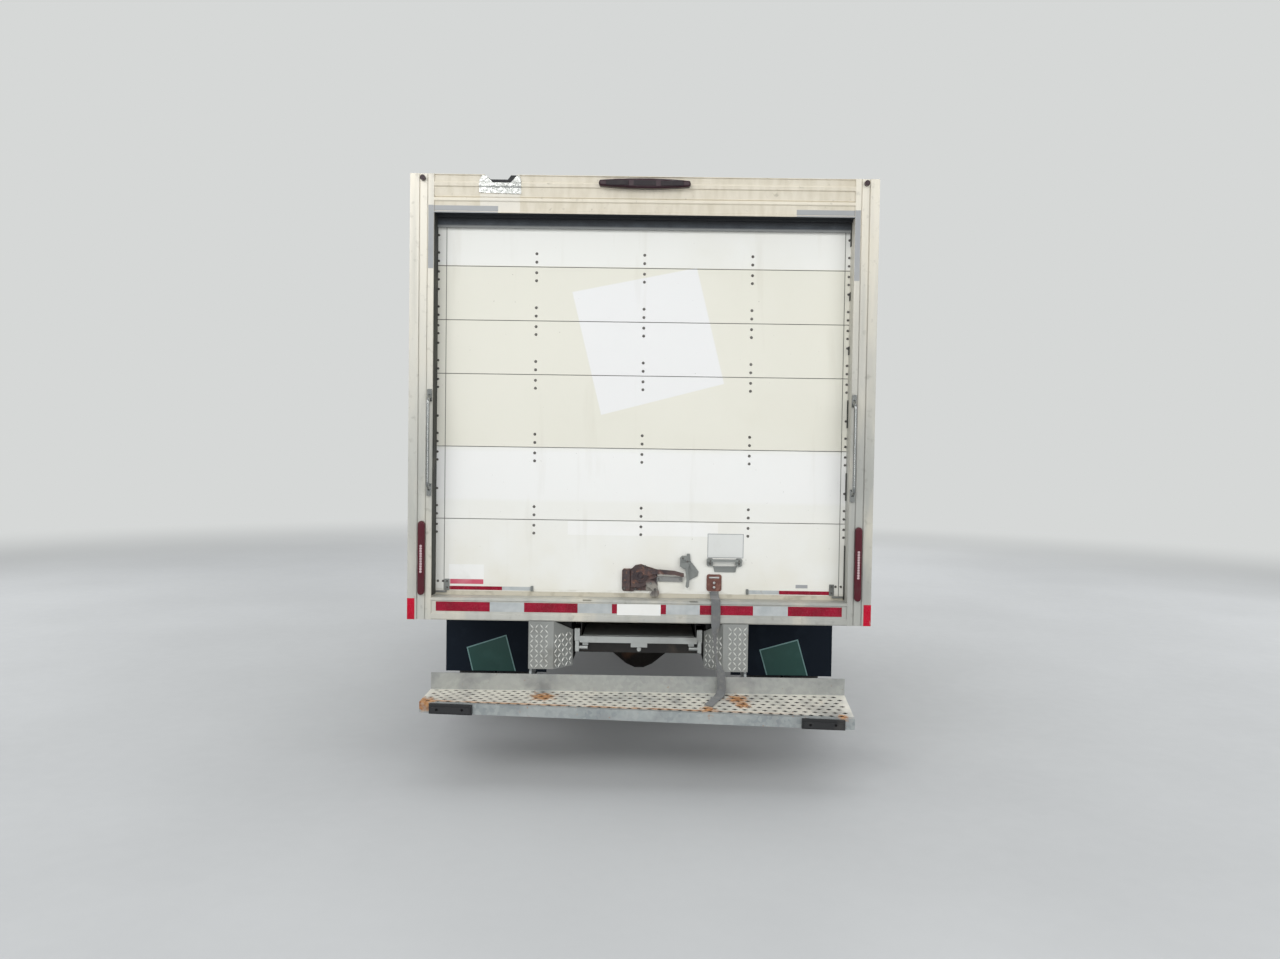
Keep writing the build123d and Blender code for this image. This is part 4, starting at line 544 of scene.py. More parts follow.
# Printed vinyl, left blank and faintly scuffed. Columns: key, name, tones, roughness, streaks, dirt.
for key, name, tones, rough, streaks, dirt in (
        ("label", "printed_vinyl", ("EDEDEA", "E4E4E0"), (0.35, 0.45), 0.1, ("B0ACA0", 0.2)),
        ("label_aged", "aged_vinyl", ("D9DAD7", "CED0CC"), (0.35, 0.45), 0.1, ("A8A294", 0.2)),
        ("label_red", "red_vinyl", ("C8546A", "B44258"), (0.35, 0.45), 0.1, ("D9C9C9", 0.2)),
        ("label_grey", "grey_vinyl", ("A3A5A6", "96989A"), (0.35, 0.45), 0.1, ("8B8B86", 0.2)),
        ("decal", "green_vinyl", ("134D44", "0F413B"), (0.4, 0.5), 0.2, ("4C7A72", 0.12)),
        ("decal_edge", "pale_green_vinyl", ("7FA5A3", "6D9391"), (0.4, 0.5), 0.2, ("4E6361", 0.25))):
    worn(key, name, tones, rough, 0.0, 0.004, 0.0001, streaks, dirt)


def door_rubber():
    """Extruded EPDM: near black just under the header as a painted shadow of the header, bleached and smeared
    cream at the sill.
    """
    material, tree, shader = new_finish("door_rubber")
    low_down = between(tree, 2, 0.0, 1.5)
    colour = layered(tree, "3C4248", ("2A2F35", 1.0, patches(tree, 0.04)),
                     # Near black band just under the header: painted shadow cast by the header.
                     ("15181D", 0.95, between(tree, 2, 2.905, 3.0, 0.012)),
                     ("8C8E8C", 0.8, between(tree, 2, 2.86, 2.882, 0.005)),
                     ("C9C3B2", 0.95, low_down), ("8D8675", 0.5, low_down, patches(tree, 0.03, 0.5, 0.65)))
    surface(tree, shader, colour, patches(tree, 0.004), (0.6, 0.75), 0.0004)
    return material


finish["seal"] = door_rubber()
# Bulb seals beside the door: black, with road film in their folds.
worn("seal_dark", "black_edge_seal", ("34352F", "22231F"), (0.6, 0.75), 0.0, 0.003, 0.0003, 0.2,
     ("6B675A", 0.3))

# %% Webbing and seat cloth
def woven(name, tone, dark, thread, **sockets):
    """Plain weave: two waves at right angles, one thread apart, drawn a little coarser than life."""
    material, tree, shader = new_finish(name, **sockets)
    along, across = [add(tree, "ShaderNodeTexWave", {"Vector": in_metres(tree), "Scale": wave_scale / thread},
                         out="Fac", bands_direction=direction) for direction in ("X", "Z")]
    weave = both(tree, along, across)
    colour = layered(tree, dark, (tone, 1.0, weave), (dark, 0.5, patches(tree, 0.03, 0.5, 0.7)),
                     ("A09A8C", 0.25, patches(tree, 0.02, 0.55, 0.7)))
    surface(tree, shader, colour, weave, (0.75, 0.9), 0.0006)
    return material


finish["webbing"] = woven("polyester_webbing", "8A8B8A", "5C5E5F", 0.002, Sheen_Weight=0.3)
finish["seat_cloth"] = woven("grey_seat_cloth", "55585C", "3A3D41", 0.003, Sheen_Weight=0.4)
print(f"{len(finish)} finishes in all")

# %% [markdown]
# ## Dress the CAD nodes
# A table says which finish each node takes. The CAD mesh is never changed: only its material slot is.

# %% Dress the CAD nodes
nodes_of = {
    "door": ["roll_up_door"], "seal": ["door_seals"], "post": ["rear_posts", "rear_sill"],
    "header": ["rear_header"], "gel_coat": ["box_sides", "box_front"], "roof": ["box_roof"],
    "rail": ["box_rails"], "floor": ["box_floor"], "bumper": ["step_bumper"], "latch_iron": ["door_latch"],
    "casting": ["door_hardware"], "stainless": ["grab_handles"], "red_lens": ["rear_lamps"],
    "flap": ["mud_flaps"], "rubber": ["bumper_pads"], "tread_plate": ["checker_covers"],
    "ramp": ["walk_ramp"], "tank": ["fuel_tank"], "engine": ["engine"], "clear_lens": ["headlamps"],
    "chassis": ["box_underframe", "frame_rail_left", "frame_rail_right", "frame_crossmembers", "front_axle",
                "rear_springs"],
    "cast": ["rear_axle", "exhaust", "knuckle_left", "knuckle_right"],
    "enamel": ["cab_body", "cab_door_left", "cab_door_right", "bonnet"],
    "glass": ["windscreen", "door_glass_left", "door_glass_right"],
    "abs": ["door_mirror_left", "door_mirror_right", "grille", "front_bumper", "dashboard"],
    "seat_cloth": ["seats"], "webbing": ["pull_strap"],
    "tyre": [name for name in nodes if "tyre" in name], "wheel": [name for name in nodes if "rim" in name],
}
dressed = set()
for kind, names in nodes_of.items():
    for name in names:
        nodes[name].data.materials.clear()
        nodes[name].data.materials.append(finish[kind])
        dressed.add(name)
print("nodes without a finish:", sorted(set(nodes) - dressed))

# %% [markdown]
# ## Making and placing meshes
# Every added piece is a mesh that rides on a body of the CAD model. These helpers make a mesh, put it
# into the scene and shade it, so that the later cells say only what is special about each piece.

# %% Making and placing meshes
def placed(name, mesh, material=None, body="chassis"):
    """An object for a mesh, with its material, which rides on a body."""
    if material:
        mesh.materials.clear()
        mesh.materials.append(material)
    piece = bpy.data.objects.new(name, mesh)
    scene.collection.objects.link(piece)
    if body:
        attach(piece, body)
    return piece


def mesh_piece(name, points, faces, material, body="chassis"):
    """A piece from its points and faces, which rides on a body."""
    mesh = bpy.data.meshes.new(name)
    mesh.from_pydata([tuple(point) for point in points], [], faces)
    mesh.update()
    return placed(name, mesh, material, body)


def evaluated(source):
    """A new mesh of an object as its modifiers leave it."""
    return bpy.data.meshes.new_from_object(source.evaluated_get(bpy.context.evaluated_depsgraph_get()))


def made_mesh(name, made):
    """A mesh from an edited bmesh, which is freed."""
    mesh = bpy.data.meshes.new(name)
    made.to_mesh(mesh)
    made.free()
    return mesh


def smooth(piece):
    """Shades a piece smooth."""
    for polygon in piece.data.polygons:
        polygon.use_smooth = True

# %% [markdown]
# ## Floor
# A plain pale sheet under the wheels, which rides on no body of the truck. It keeps the
# truck's shadow near by and fades into the backdrop's own colour far off, so that no horizon shows.

# %% Floor
fade_start, fade_end, half = 7.0, 16.0, 60
floor_paint, tree, shader = new_finish("matt_floor_paint")
colour = layered(tree, "B9BBBC", ("B4B6B7", 1.0, patches(tree, 0.8)))
surface(tree, shader, colour, patches(tree, 0.05), (0.7, 0.8), 0.0002)
away = add(tree, "ShaderNodeVectorMath", {0: in_metres(tree)}, out="Value", operation="LENGTH")
far = add(tree, "ShaderNodeMapRange", {0: away, 1: fade_start, 2: fade_end}, interpolation_type="SMOOTHSTEP")
haze = add(tree, "ShaderNodeEmission", {"Color": rgb(backdrop), "Strength": 1.0})
faded = add(tree, "ShaderNodeMixShader", {0: both(tree, far, seen(tree)), 1: shader.outputs[0], 2: haze})
tree.links.new(faded, tree.nodes["Material Output"].inputs["Surface"])
floor = mesh_piece("studio_floor", [(-half, -half, 0), (half, -half, 0), (half, half, 0), (-half, half, 0)],
                   [(0, 1, 2, 3)], floor_paint, None)

# %% [markdown]
# ## Heads and studs by Geometry Nodes
# Bolts, rivets, lamp beads, wheel nuts, tread blocks and the lozenges of tread plate are one idea: a
# small frustum on every point of a list, standing off its surface. Placing hundreds by hand is slow to
# write and to change, so one tree does it. Each point carries the way it faces and the way its length
# runs as attributes. The frustum can first be turned about its axis: half a side makes four sides square.

# %% Heads and studs by Geometry Nodes
def head_tree():
    """A frustum on every point, aimed by the point's own vectors, then realized and painted."""
    tree = bpy.data.node_groups.new("heads_on_points", "GeometryNodeTree")
    sockets = {"Points": "Geometry", "Width": "Float", "Length": "Float", "Height": "Float",
               "Taper": "Float", "Turn": "Float", "Sides": "Int", "Finish": "Material"}
    for name, kind in sockets.items():
        tree.interface.new_socket(name, in_out="INPUT", socket_type="NodeSocket" + kind)
    tree.interface.new_socket("Geometry", in_out="OUTPUT", socket_type="NodeSocketGeometry")
    given = {name: add(tree, "NodeGroupInput", out=name) for name in sockets}
    cone = add(tree, "GeometryNodeMeshCone", {"Vertices": given["Sides"], "Radius Bottom": 0.5, "Depth": 1.0,
                                              "Radius Top": given["Taper"]})
    turn = add(tree, "ShaderNodeCombineXYZ", {2: given["Turn"]})
    squared = add(tree, "GeometryNodeTransform", {"Geometry": cone, "Rotation": turn})
    size = add(tree, "ShaderNodeCombineXYZ", {0: given["Length"], 1: given["Width"], 2: given["Height"]})
    head = add(tree, "GeometryNodeTransform", {"Geometry": squared, "Scale": size})
    facing, along = [add(tree, "GeometryNodeInputNamedAttribute", {"Name": name}, data_type="FLOAT_VECTOR")
                     for name in ("facing", "along")]
    aimed = add(tree, "FunctionNodeAlignRotationToVector", {"Vector": facing}, axis="Z")
    rotation = add(tree, "FunctionNodeAlignRotationToVector", {"Rotation": aimed, "Vector": along}, axis="X",
                   pivot_axis="Z")
    copies = add(tree, "GeometryNodeInstanceOnPoints", {"Points": given["Points"], "Instance": head,
                                                        "Rotation": rotation})
    solid = add(tree, "GeometryNodeRealizeInstances", {0: copies})
    painted = add(tree, "GeometryNodeSetMaterial", {"Geometry": solid, "Material": given["Finish"]})
    add(tree, "NodeGroupOutput", {"Geometry": painted})
    return tree


heads_on_points = head_tree()

# %% Make heads on points
def heads(name, points, material, width, height, sides=8, taper=0.34, length=None, body="chassis", turn=0.0):
    """A head on each point. points: (place, facing) or (place, facing, along)."""
    mesh = bpy.data.meshes.new(name + "_points")
    mesh.from_pydata([tuple(point[0]) for point in points], [], [])
    for attribute in ("facing", "along"):
        mesh.attributes.new(attribute, "FLOAT_VECTOR", "POINT")
    for index, point in enumerate(points):
        mesh.attributes["facing"].data[index].vector = point[1]
        mesh.attributes["along"].data[index].vector = point[2] if len(point) > 2 else (1, 0, 0)
    source = bpy.data.objects.new(name + "_points", mesh)
    scene.collection.objects.link(source)
    modifier = source.modifiers.new("heads", "NODES")
    modifier.node_group = heads_on_points
    values = {"Width": width, "Length": length or width, "Height": height, "Taper": taper, "Turn": turn,
              "Sides": sides, "Finish": material}
    for item in heads_on_points.interface.items_tree:
        if item.name in values:
            modifier[item.identifier] = values[item.name]
    made = evaluated(source)
    bpy.data.objects.remove(source)
    print(f"{name}: {len(points)} heads, {len(made.polygons)} faces")
    return placed(name, made, None, body)


backwards, upwards = Vector((0, -1, 0)), Vector((0, 0, 1))

# %% [markdown]
# ## Bolts of the roll-up door
# The door's panels are joined by hinges on the inside, and each hinge is held by four bolts whose round
# heads show outside: two above the joint and two below. The joints and columns are short lists, so the
# heads come from two loops. The end hinges repeat the pattern close to the posts.

# %% Bolts of the roll-up door
hinge_columns = (-0.568, 0.005, 0.578)
bolt_offsets = (0.069, 0.025, -0.031, -0.073)
middle_bolts = [(Vector((x, door_y, z + up)), backwards)
                for z in panel_joints for x in hinge_columns for up in bolt_offsets]
heads("door_hinge_bolts", middle_bolts, finish["bolt"], 0.016, 0.004, 10, 0.3)
end_bolts = [(Vector((side * 1.0885, door_y, z + up)), backwards)
             for z in panel_joints for side in (-1, 1) for up in bolt_offsets + (0.161,)]
end_bolts += [(Vector((side * x, door_y, 0.992)), backwards) for side in (-1, 1) for x in (1.080, 1.052)]
heads("door_end_bolts", end_bolts, finish["bolt"], 0.014, 0.005, 8, 0.3)

# %% [markdown]
# ## Flat goods: strips, tapes and labels
# A sticker or a strip is a thin plate with eased edges. `slabs` makes any number of them in one mesh
# from their corner boxes and bevels their edges, so that light catches the rim as it does on the real one.

# %% Strips and plates with eased edges
def slabs(name, boxes, material, bevel=0.0002, body="chassis"):
    """Plates with bevelled edges from (low corner, high corner) boxes, in one mesh."""
    made = bmesh.new()
    for low, high in boxes:
        low, high = Vector(low), Vector(high)
        size = Matrix.Diagonal((*(high - low), 1))
        bmesh.ops.create_cube(made, size=1.0, matrix=Matrix.Translation((low + high) / 2) @ size)
    bmesh.ops.bevel(made, geom=made.edges[:], offset=bevel, segments=2, affect="EDGES", profile=0.5)
    return placed(name, made_mesh(name, made), material, body)


def stuck_on(x0, x1, z0, z1, y, proud):
    """The box of a flat thing stuck on a face that looks backwards at y."""
    return (x0, y - proud, z0), (x1, y, z1)


def beside(side, inner, outer, y, z):
    """A box on one side of the truck from two distances to its middle, its Y range and its Z range."""
    low, high = sorted((side * inner, side * outer))
    return (low, y[0], z[0]), (high, y[1], z[1])

# %% Reflective tape and tape repairs
band_y, band_z, foot_z, corner_z = rear_y + 0.006, (0.846, 0.896), (0.946, 0.966), (0.8005, 0.912)
tape_gauge = 0.0005


def tape(name, lengths, z, y, kind):
    """Lengths of tape side by side, each from x0 to x1, on a face that looks backwards at y."""
    slabs(name, [stuck_on(x0, x1, *z, y, tape_gauge) for x0, x1 in lengths], finish[kind])


red_lengths = ((-1.070, -0.785), (-0.604, -0.322), (-0.141, 0.144), (0.322, 0.602), (0.785, 1.069))
silver_lengths = [(start, end) for (_, start), (end, _) in zip(red_lengths, red_lengths[1:])]
tape("sill_tape_red", red_lengths, band_z, band_y, "tape_red")
tape("sill_tape_silver", silver_lengths, band_z, band_y, "tape_silver")
slabs("sill_label", [stuck_on(-0.114, 0.116, 0.838, 0.897, band_y, 0.001)], finish["label"])

on_post = (rear_y - tape_gauge, rear_y)
round_post = (rear_y - tape_gauge, rear_y + 0.045)
corner_tape = [beside(side, 1.181, 1.2205, on_post, corner_z) for side in (-1, 1)]
corner_tape += [beside(side, 1.2200, 1.2205, round_post, corner_z) for side in (-1, 1)]
slabs("corner_tape", corner_tape, finish["tape_bright"])
tape("door_tape_red", ((-1.020, -0.735), (0.750, 1.034)), foot_z, door_y, "tape_red")
tape("door_tape_silver", ((-0.735, -0.574), (0.579, 0.750)), foot_z, door_y, "tape_silver")

repair_tape = []
for side, inner, outer, low in ((-1, 0.762, 1.095, 2.640), (1, 0.792, 1.095, 2.604)):
    header_tape = (rear_y + 0.007 - tape_gauge, rear_y + 0.007)
    repair_tape += [beside(side, inner, outer, header_tape, (2.9405, 2.968)),
                    beside(side, inner, outer, on_post, (2.930, 2.936)),
                    beside(side, 1.0955, 1.1235, on_post, (low, 2.968))]
slabs("opening_corner_tape", repair_tape, finish["label_grey"])

# %% Labels, all left blank
# columns: name, x0, x1, z0, z1, how far it stands proud, finish, bevel
for name, x0, x1, z0, z1, proud, kind, bevel in (
        ("door_label", -1.021, -0.833, 1.004, 1.083, 0.0005, "label", 0.0002),
        ("door_label_strip", -1.014, -0.836, 0.978, 1.003, 0.0006, "label_red", 0.0002),
        ("notice_label_border", 0.363, 0.556, 1.137, 1.267, 0.0004, "label_grey", 0.0002),
        ("notice_label", 0.367, 0.552, 1.141, 1.263, 0.0008, "label_aged", 0.0002),
        ("small_label", 0.838, 0.902, 0.981, 0.999, 0.0006, "label_grey", 0.00025)):
    slabs(name, [stuck_on(x0, x1, z0, z1, door_y, proud)], finish[kind], bevel)

# %% Clips and roller brackets at the door's foot
clips = [stuck_on(x - 0.007, x + 0.007, 0.944, 0.972, door_y, 0.008) for x in (-0.574, 0.579)]
brackets = [stuck_on(side * 1.030 - 0.013, side * 1.030 + 0.013, 0.944, 1.004, door_y, 0.006)
            for side in (-1, 1)]
feet = [beside(side, 1.032, 1.090, (door_y - 0.010, door_y), (0.932, 0.941)) for side in (-1, 1)]
slabs("door_foot_clips", clips + brackets + feet, finish["casting"], 0.0015)
studs = [(Vector((side * 1.030, door_y - 0.006, z)), backwards) for side in (-1, 1) for z in (0.958, 0.992)]
heads("roller_studs", studs, finish["bolt"], 0.012, 0.005)

# %% [markdown]
# ## Lamp windows
# The tail lamps are long red lenses with a row of bright beads down the middle, where the diodes show
# through. The bar in the header holds three lamps. The lens bodies are CAD; the beads are heads again.

# %% Lamp windows
tail_face = rear_y - 0.0213
bead_low, bead_pitch, bead_count = 1.055, 0.0135, 11
beads = [(Vector((side * 1.146, tail_face, bead_low + bead_pitch * step)), backwards)
         for side in (-1, 1) for step in range(bead_count)]
heads("tail_lamp_beads", beads, finish["led"], 0.014, 0.0018, 8, 0.36)
bar_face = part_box("rear_lamps")[0].y
bar_lenses = [stuck_on(x - 0.058, x + 0.058, 3.073, 3.099, bar_face, 0.003) for x in (-0.142, 0, 0.142)]
slabs("header_bar_lenses", bar_lenses, finish["dark_lens"], 0.0014)

# %% [markdown]
# ## Foil over the dent
# Someone has closed the crushed rib with aluminium tape. Foil takes the shape under it and keeps every
# crease, so it is a fine grid that follows the dent's edge and is pushed in and out by noise.

# %% Foil over the dent
def grid_faces(columns, rows):
    """The faces of a grid whose points are listed one column of rows + 1 points after the other."""
    starts = [i * (rows + 1) + j for i in range(columns) for j in range(rows)]
    return [(start, start + rows + 1, start + rows + 2, start + 1) for start in starts]


def foil_patch():
    """A crumpled strip that hangs from the torn edge and runs up its two sides."""
    rim = [(-0.861, 3.099), (-0.846, 3.127), (-0.831, 3.1285), (-0.789, 3.087), (-0.698, 3.087),
           (-0.662, 3.1285), (-0.651, 3.125), (-0.642, 3.094)]
    low_left, low_right = 3.036, 3.030
    groove_z, groove_half, groove_slope, groove_depth = 3.077, 0.008, 0.007, 0.0058
    columns, rows = 64, 20
    points = []
    for i in range(columns + 1):
        x = rim[0][0] + (rim[-1][0] - rim[0][0]) * i / columns
        top = next(z0 + (z1 - z0) * (x - x0) / (x1 - x0)
                   for (x0, z0), (x1, z1) in zip(rim, rim[1:]) if x <= x1 + 1e-9)
        low = low_left + (low_right - low_left) * i / columns
        for j in range(rows + 1):
            z = low + (top - low) * j / rows
            inset = groove_depth * min(1.0, max(0.0, abs(z - groove_z) - groove_half) / groove_slope)
            crumple = noise.noise(Vector((x * 60, z * 75, 0.3))) * 0.0030
            crumple += noise.noise(Vector((x * 170, z * 150, 5))) * 0.0014
            points.append((x, rear_y - 0.0034 + inset + crumple, z))
    mesh_piece("dent_foil", points, grid_faces(columns, rows), finish["foil"])


foil_patch()

# %% [markdown]
# ## Tread plate
# Checker plate is rolled with raised lozenges that lean one way and the other in turn, each about 30 mm
# long and 2 mm high. They are heads with four sides, stretched along and turned about 50 degrees.

# %% Tread plate
def lozenges(corner, along, normal, width, low, high):
    """Lozenge points on an upright face that starts at corner and runs width metres along a direction."""
    pitch, steepness, found = 0.026, 1.25, []
    for row in range(int((high - low) / pitch)):
        for column in range(int(width / pitch)):
            start = corner + along * (pitch * (column + 0.5))
            spot = Vector((start.x, start.y, low + pitch * (row + 0.5)))
            lean = 1 if (row + column) % 2 else -1
            found.append((spot, normal, (along + upwards * lean * steepness).normalized()))
    return found


cover_low, cover_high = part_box("checker_covers")[0].z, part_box("checker_covers")[1].z
lozenge_points = []
for side in (-1, 1):
    outer = Vector((side * 0.574, rear_y - 0.004, 0))
    fold = Vector((side * 0.446, rear_y - 0.004, 0))
    inner = Vector((side * 0.352, rear_y + 0.096, 0))
    across = Vector((-side, 0, 0))
    slant = (inner - fold).normalized()
    slant_out = Vector((-side * abs(slant.y), -abs(slant.x), 0))
    lozenge_points += lozenges(outer, across, backwards, 0.128, cover_low + 0.004, cover_high)
    lozenge_points += lozenges(fold + slant * 0.004, slant, slant_out, (inner - fold).length,
                               cover_low + 0.004, 0.735)
# The lozenges wear the paler lozenge finish: a painted highlight on their tops.
heads("tread_plate_lozenges", lozenge_points, finish["lozenge"], 0.008, 0.0022, 4, 0.3, length=0.031)

# %% [markdown]
# ## Mud flap squares
# Each flap carries a tilted green square. What was printed on it is left off, so it stays a plain
# square with a pale rim, stuck on the rubber, turned as on the truck and cut at the flap's lower edge.

# %% Mud flap squares
flap_face, flap_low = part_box("mud_flaps")[0].y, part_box("mud_flaps")[0].z


def kept_above(corners, low):
    """The part of an outline of (x, z) corners that lies above low."""
    kept = []
    for (x0, z0), (x1, z1) in zip(corners, corners[1:] + corners[:1]):
        if z0 >= low:
            kept.append((x0, z0))
        if (z0 >= low) != (z1 >= low):
            kept.append((x0 + (x1 - x0) * (low - z0) / (z1 - z0), low))
    return kept


def flat_patch(name, corners, grow, proud, material):
    """A flat plate on the mud flap from four (x, z) corners, each moved out by grow."""
    middle = sum((Vector(corner) for corner in corners), Vector((0, 0))) / 4
    moved = [Vector(corner) + (Vector(corner) - middle).normalized() * grow for corner in corners]
    ring = [Vector((x, flap_face, z)) for x, z in kept_above(moved, flap_low + 0.004)]
    lifted = [point + backwards * proud for point in ring]
    count = len(ring)
    sides = [(i, i + count, (i + 1) % count + count, (i + 1) % count) for i in range(count)]
    ends = [tuple(range(count)), tuple(range(count, 2 * count))[::-1]]
    mesh_piece(name, ring + lifted, ends + sides, material)


square_corners = {"left": [(-1.081, 0.448), (-0.839, 0.528), (-0.772, 0.280), (-1.022, 0.205)],
                  "right": [(0.764, 0.460), (0.998, 0.527), (1.071, 0.274), (0.836, 0.212)]}
for side_name, corners in square_corners.items():
    flat_patch(f"flap_square_rim_{side_name}", corners, 0.006, 0.0008, finish["decal_edge"])
    flat_patch(f"flap_square_{side_name}", corners, -0.004, 0.0012, finish["decal"])

# %% [markdown]
# ## Pull strap
# The strap that pulls the door down is polyester webbing, two inches wide. It leaves its bracket flat,
# drops over the sill, turns on edge halfway down, turns back and lies on the tread. Cloth simulation
# would erase something this thin, so it is a ribbon: a list of places with a twist at each, smoothed,
# and a flat section carried along it.

# %% Pull strap
strap_width, strap_gauge = 0.048, 0.0022
# columns: x, y and z in metres, twist in degrees about the strap's own line
strap_route = [(0.4010, -2.9510, 0.957, 0), (0.4020, -2.9640, 0.940, 0), (0.4030, -3.0050, 0.931, 0),
               (0.4040, -3.0480, 0.925, 0), (0.4050, -3.0545, 0.890, 0), (0.4060, -3.0560, 0.821, 3),
               (0.4040, -3.0640, 0.775, 32), (0.4020, -3.0660, 0.734, 60), (0.4035, -3.0680, 0.690, 70),
               (0.4080, -3.0720, 0.645, 76), (0.4160, -3.0800, 0.605, 70), (0.4260, -3.0930, 0.573, 46),
               (0.4340, -3.1000, 0.537, 24), (0.4380, -3.1010, 0.497, 12), (0.4370, -3.1040, 0.462, 4),
               (0.4260, -3.1240, 0.4400, 0), (0.4060, -3.1560, 0.4326, 0), (0.3880, -3.1920, 0.4278, 0),
               (0.3700, -3.2300, 0.4227, 0), (0.3610, -3.2500, 0.4200, 0)]


def smoothed(rows, steps):
    """Points on a curve through the rows, with steps between each pair (Catmull and Rom's rule)."""
    ends = [rows[0]] + rows + [rows[-1]]
    found = []
    for a, b, c, d in zip(ends, ends[1:], ends[2:], ends[3:]):
        for step in range(steps):
            t = step / steps
            found.append([0.5 * (2 * q + (r - p) * t + (2 * p - 5 * q + 4 * r - s) * t * t
                                 + (3 * q - p - 3 * r + s) * t ** 3) for p, q, r, s in zip(a, b, c, d)])
    return found + [list(rows[-1])]


def ribbon(name, rows, width, gauge, material):
    """A closed flat band along x, y, z, twist rows. Returns the piece and the band's length."""
    section = [(-0.5, 0), (-0.48, 0.5), (-0.2, 0.5), (0.2, 0.5), (0.48, 0.5), (0.5, 0),
               (0.48, -0.5), (0.2, -0.5), (-0.2, -0.5), (-0.48, -0.5)]
    line = smoothed(rows, 6)
    places = [Vector(row[:3]) for row in line]
    points, length = [], 0.0
    for index, (place, row) in enumerate(zip(places, line)):
        before, after = places[max(index - 1, 0)], places[min(index + 1, len(places) - 1)]
        tangent = (after - before).normalized()
        wide = Vector((math.cos(math.radians(row[3])), math.sin(math.radians(row[3])), 0))
        wide = (wide - tangent * wide.dot(tangent)).normalized()
        thick = tangent.cross(wide)
        length += (place - before).length
        points += [place + wide * (u * width) + thick * (v * gauge) for u, v in section]
    count = len(section)
    faces = [(ring * count + i, ring * count + (i + 1) % count, (ring + 1) * count + (i + 1) % count,
              (ring + 1) * count + i) for ring in range(len(line) - 1) for i in range(count)]
    faces += [tuple(range(count))[::-1], tuple(range((len(line) - 1) * count, len(line) * count))]
    return mesh_piece(name, points, faces, material), length


strap, strap_length = ribbon("pull_strap_webbing", strap_route, strap_width, strap_gauge, finish["webbing"])
smooth(strap)
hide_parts("pull_strap")
print(f"the strap is {strap_length:.3f} m long")

# %% [markdown]
# ## Finding the surface
# A small piece has to sit on what carries it. Instead of copying heights from the drawing, a ray is
# shot at the CAD mesh and the piece goes where the ray lands, facing the way the surface faces there.

# %% Finding the surface
skins = {}


def touch(node, start, aim):
    """Where a line from start along aim first meets a CAD node: the place and the way its face looks."""
    if node not in skins:
        mesh = nodes[node].data
        skins[node] = BVHTree.FromPolygons([point.co for point in mesh.vertices],
                                           [polygon.vertices for polygon in mesh.polygons])
    place, facing, _, _ = skins[node].ray_cast(Vector(start), Vector(aim).normalized())
    return place, facing


def landed(node, starts, aim):
    """(place, facing) of every ray that hits, facing back against the ray."""
    hits = [touch(node, start, aim) for start in starts]
    return [(place, facing if facing.dot(Vector(aim)) < 0 else -facing) for place, facing in hits if place]

# %% [markdown]
# ## Seals at the door's edges
# Rubber seals run up both sides of the opening. The left one is drawn over the whole inner side of its post,
# a dark sheet that is partly a seal and partly painted shade for the shadow there; the right one is a thin
# line, broken at each joint where the end hinge passes.

# %% Seals at the door's edges
opening = 1.0948
# The left strip covers the post's whole inner side: partly a real seal, partly a dark sheet of painted shade.
left_seal_and_painted_shade = [((-opening, rear_y + 0.012, 0.925), (-opening + 0.0035, door_y - 0.002, 2.928))]
stops = [0.925] + [z + step for z in panel_joints for step in (-0.115, 0.125)] + [2.928]
right_seal = [((opening - 0.003, door_y - 0.028, low), (opening, door_y - 0.002, high))
              for low, high in zip(stops[::2], stops[1::2])]
slabs("door_edge_seals_and_painted_shade", left_seal_and_painted_shade + right_seal, finish["seal_dark"], 0.0012)

# %% [markdown]
# ## Bolts of the latch, the handle and the bracket
# Each casting is held by round-headed bolts and each hinge of the latch by a rivet, brighter than the
# iron round them where the rust has been rubbed off.

# %% Bolts of the latch, the handle and the bracket
def from_behind(node, places):
    """Where rays from behind the truck at (x, z) places land on a node."""
    return landed(node, [(x, rear_y - 0.5, z) for x, z in places], (0, 1, 0))


# columns: name, node, places, finish, width, height, taper
for name, node, places, kind, width, height, taper in (
        ("latch_bolts", "door_latch", ((-0.079, 1.082), (-0.079, 0.968), (0.086, 0.966), (0.030, 1.088),
                                       (-0.020, 0.965)), "bolt", 0.014, 0.004, 0.3),
        ("latch_rivets", "door_latch", ((0.105, 1.020), (0.222, 1.020), (0.062, 0.998)),
         "casting", 0.013, 0.004, 0.28),
        ("handle_screws", "door_hardware", ((0.378, 1.124), (0.378, 1.106), (0.532, 1.124), (0.532, 1.106)),
         "bolt", 0.011, 0.003, 0.28),
        ("keeper_screws", "door_hardware", ((0.232, 1.135), (0.256, 1.118), (0.296, 1.110)),
         "bolt", 0.011, 0.003, 0.28),
        ("bracket_rivets", "door_latch", ((0.401, 1.004), (0.401, 0.980)), "rivet", 0.0145, 0.003, 0.26)):
    heads(name, from_behind(node, places), finish[kind], width, height, 10, taper)
bracket_face = from_behind("door_latch", [(0.370, 1.046)])[0][0].y
bracket_pin = ((0.374, bracket_face - 0.001, 1.0275), (0.428, bracket_face + 0.005, 1.0365))
slabs("bracket_pin", [bracket_pin], finish["rivet"], 0.0018)

# %% [markdown]
# ## Tyres
# A road tyre is a carcass turned about the axle with a tread moulded on it. The CAD tyre gives the outer
# form, so the carcass follows it with its crown sunk by the depth of the grooves, plus the rings that a
# mould leaves on the sidewall. The tread blocks are heads with four sides, set in rows round the crown.

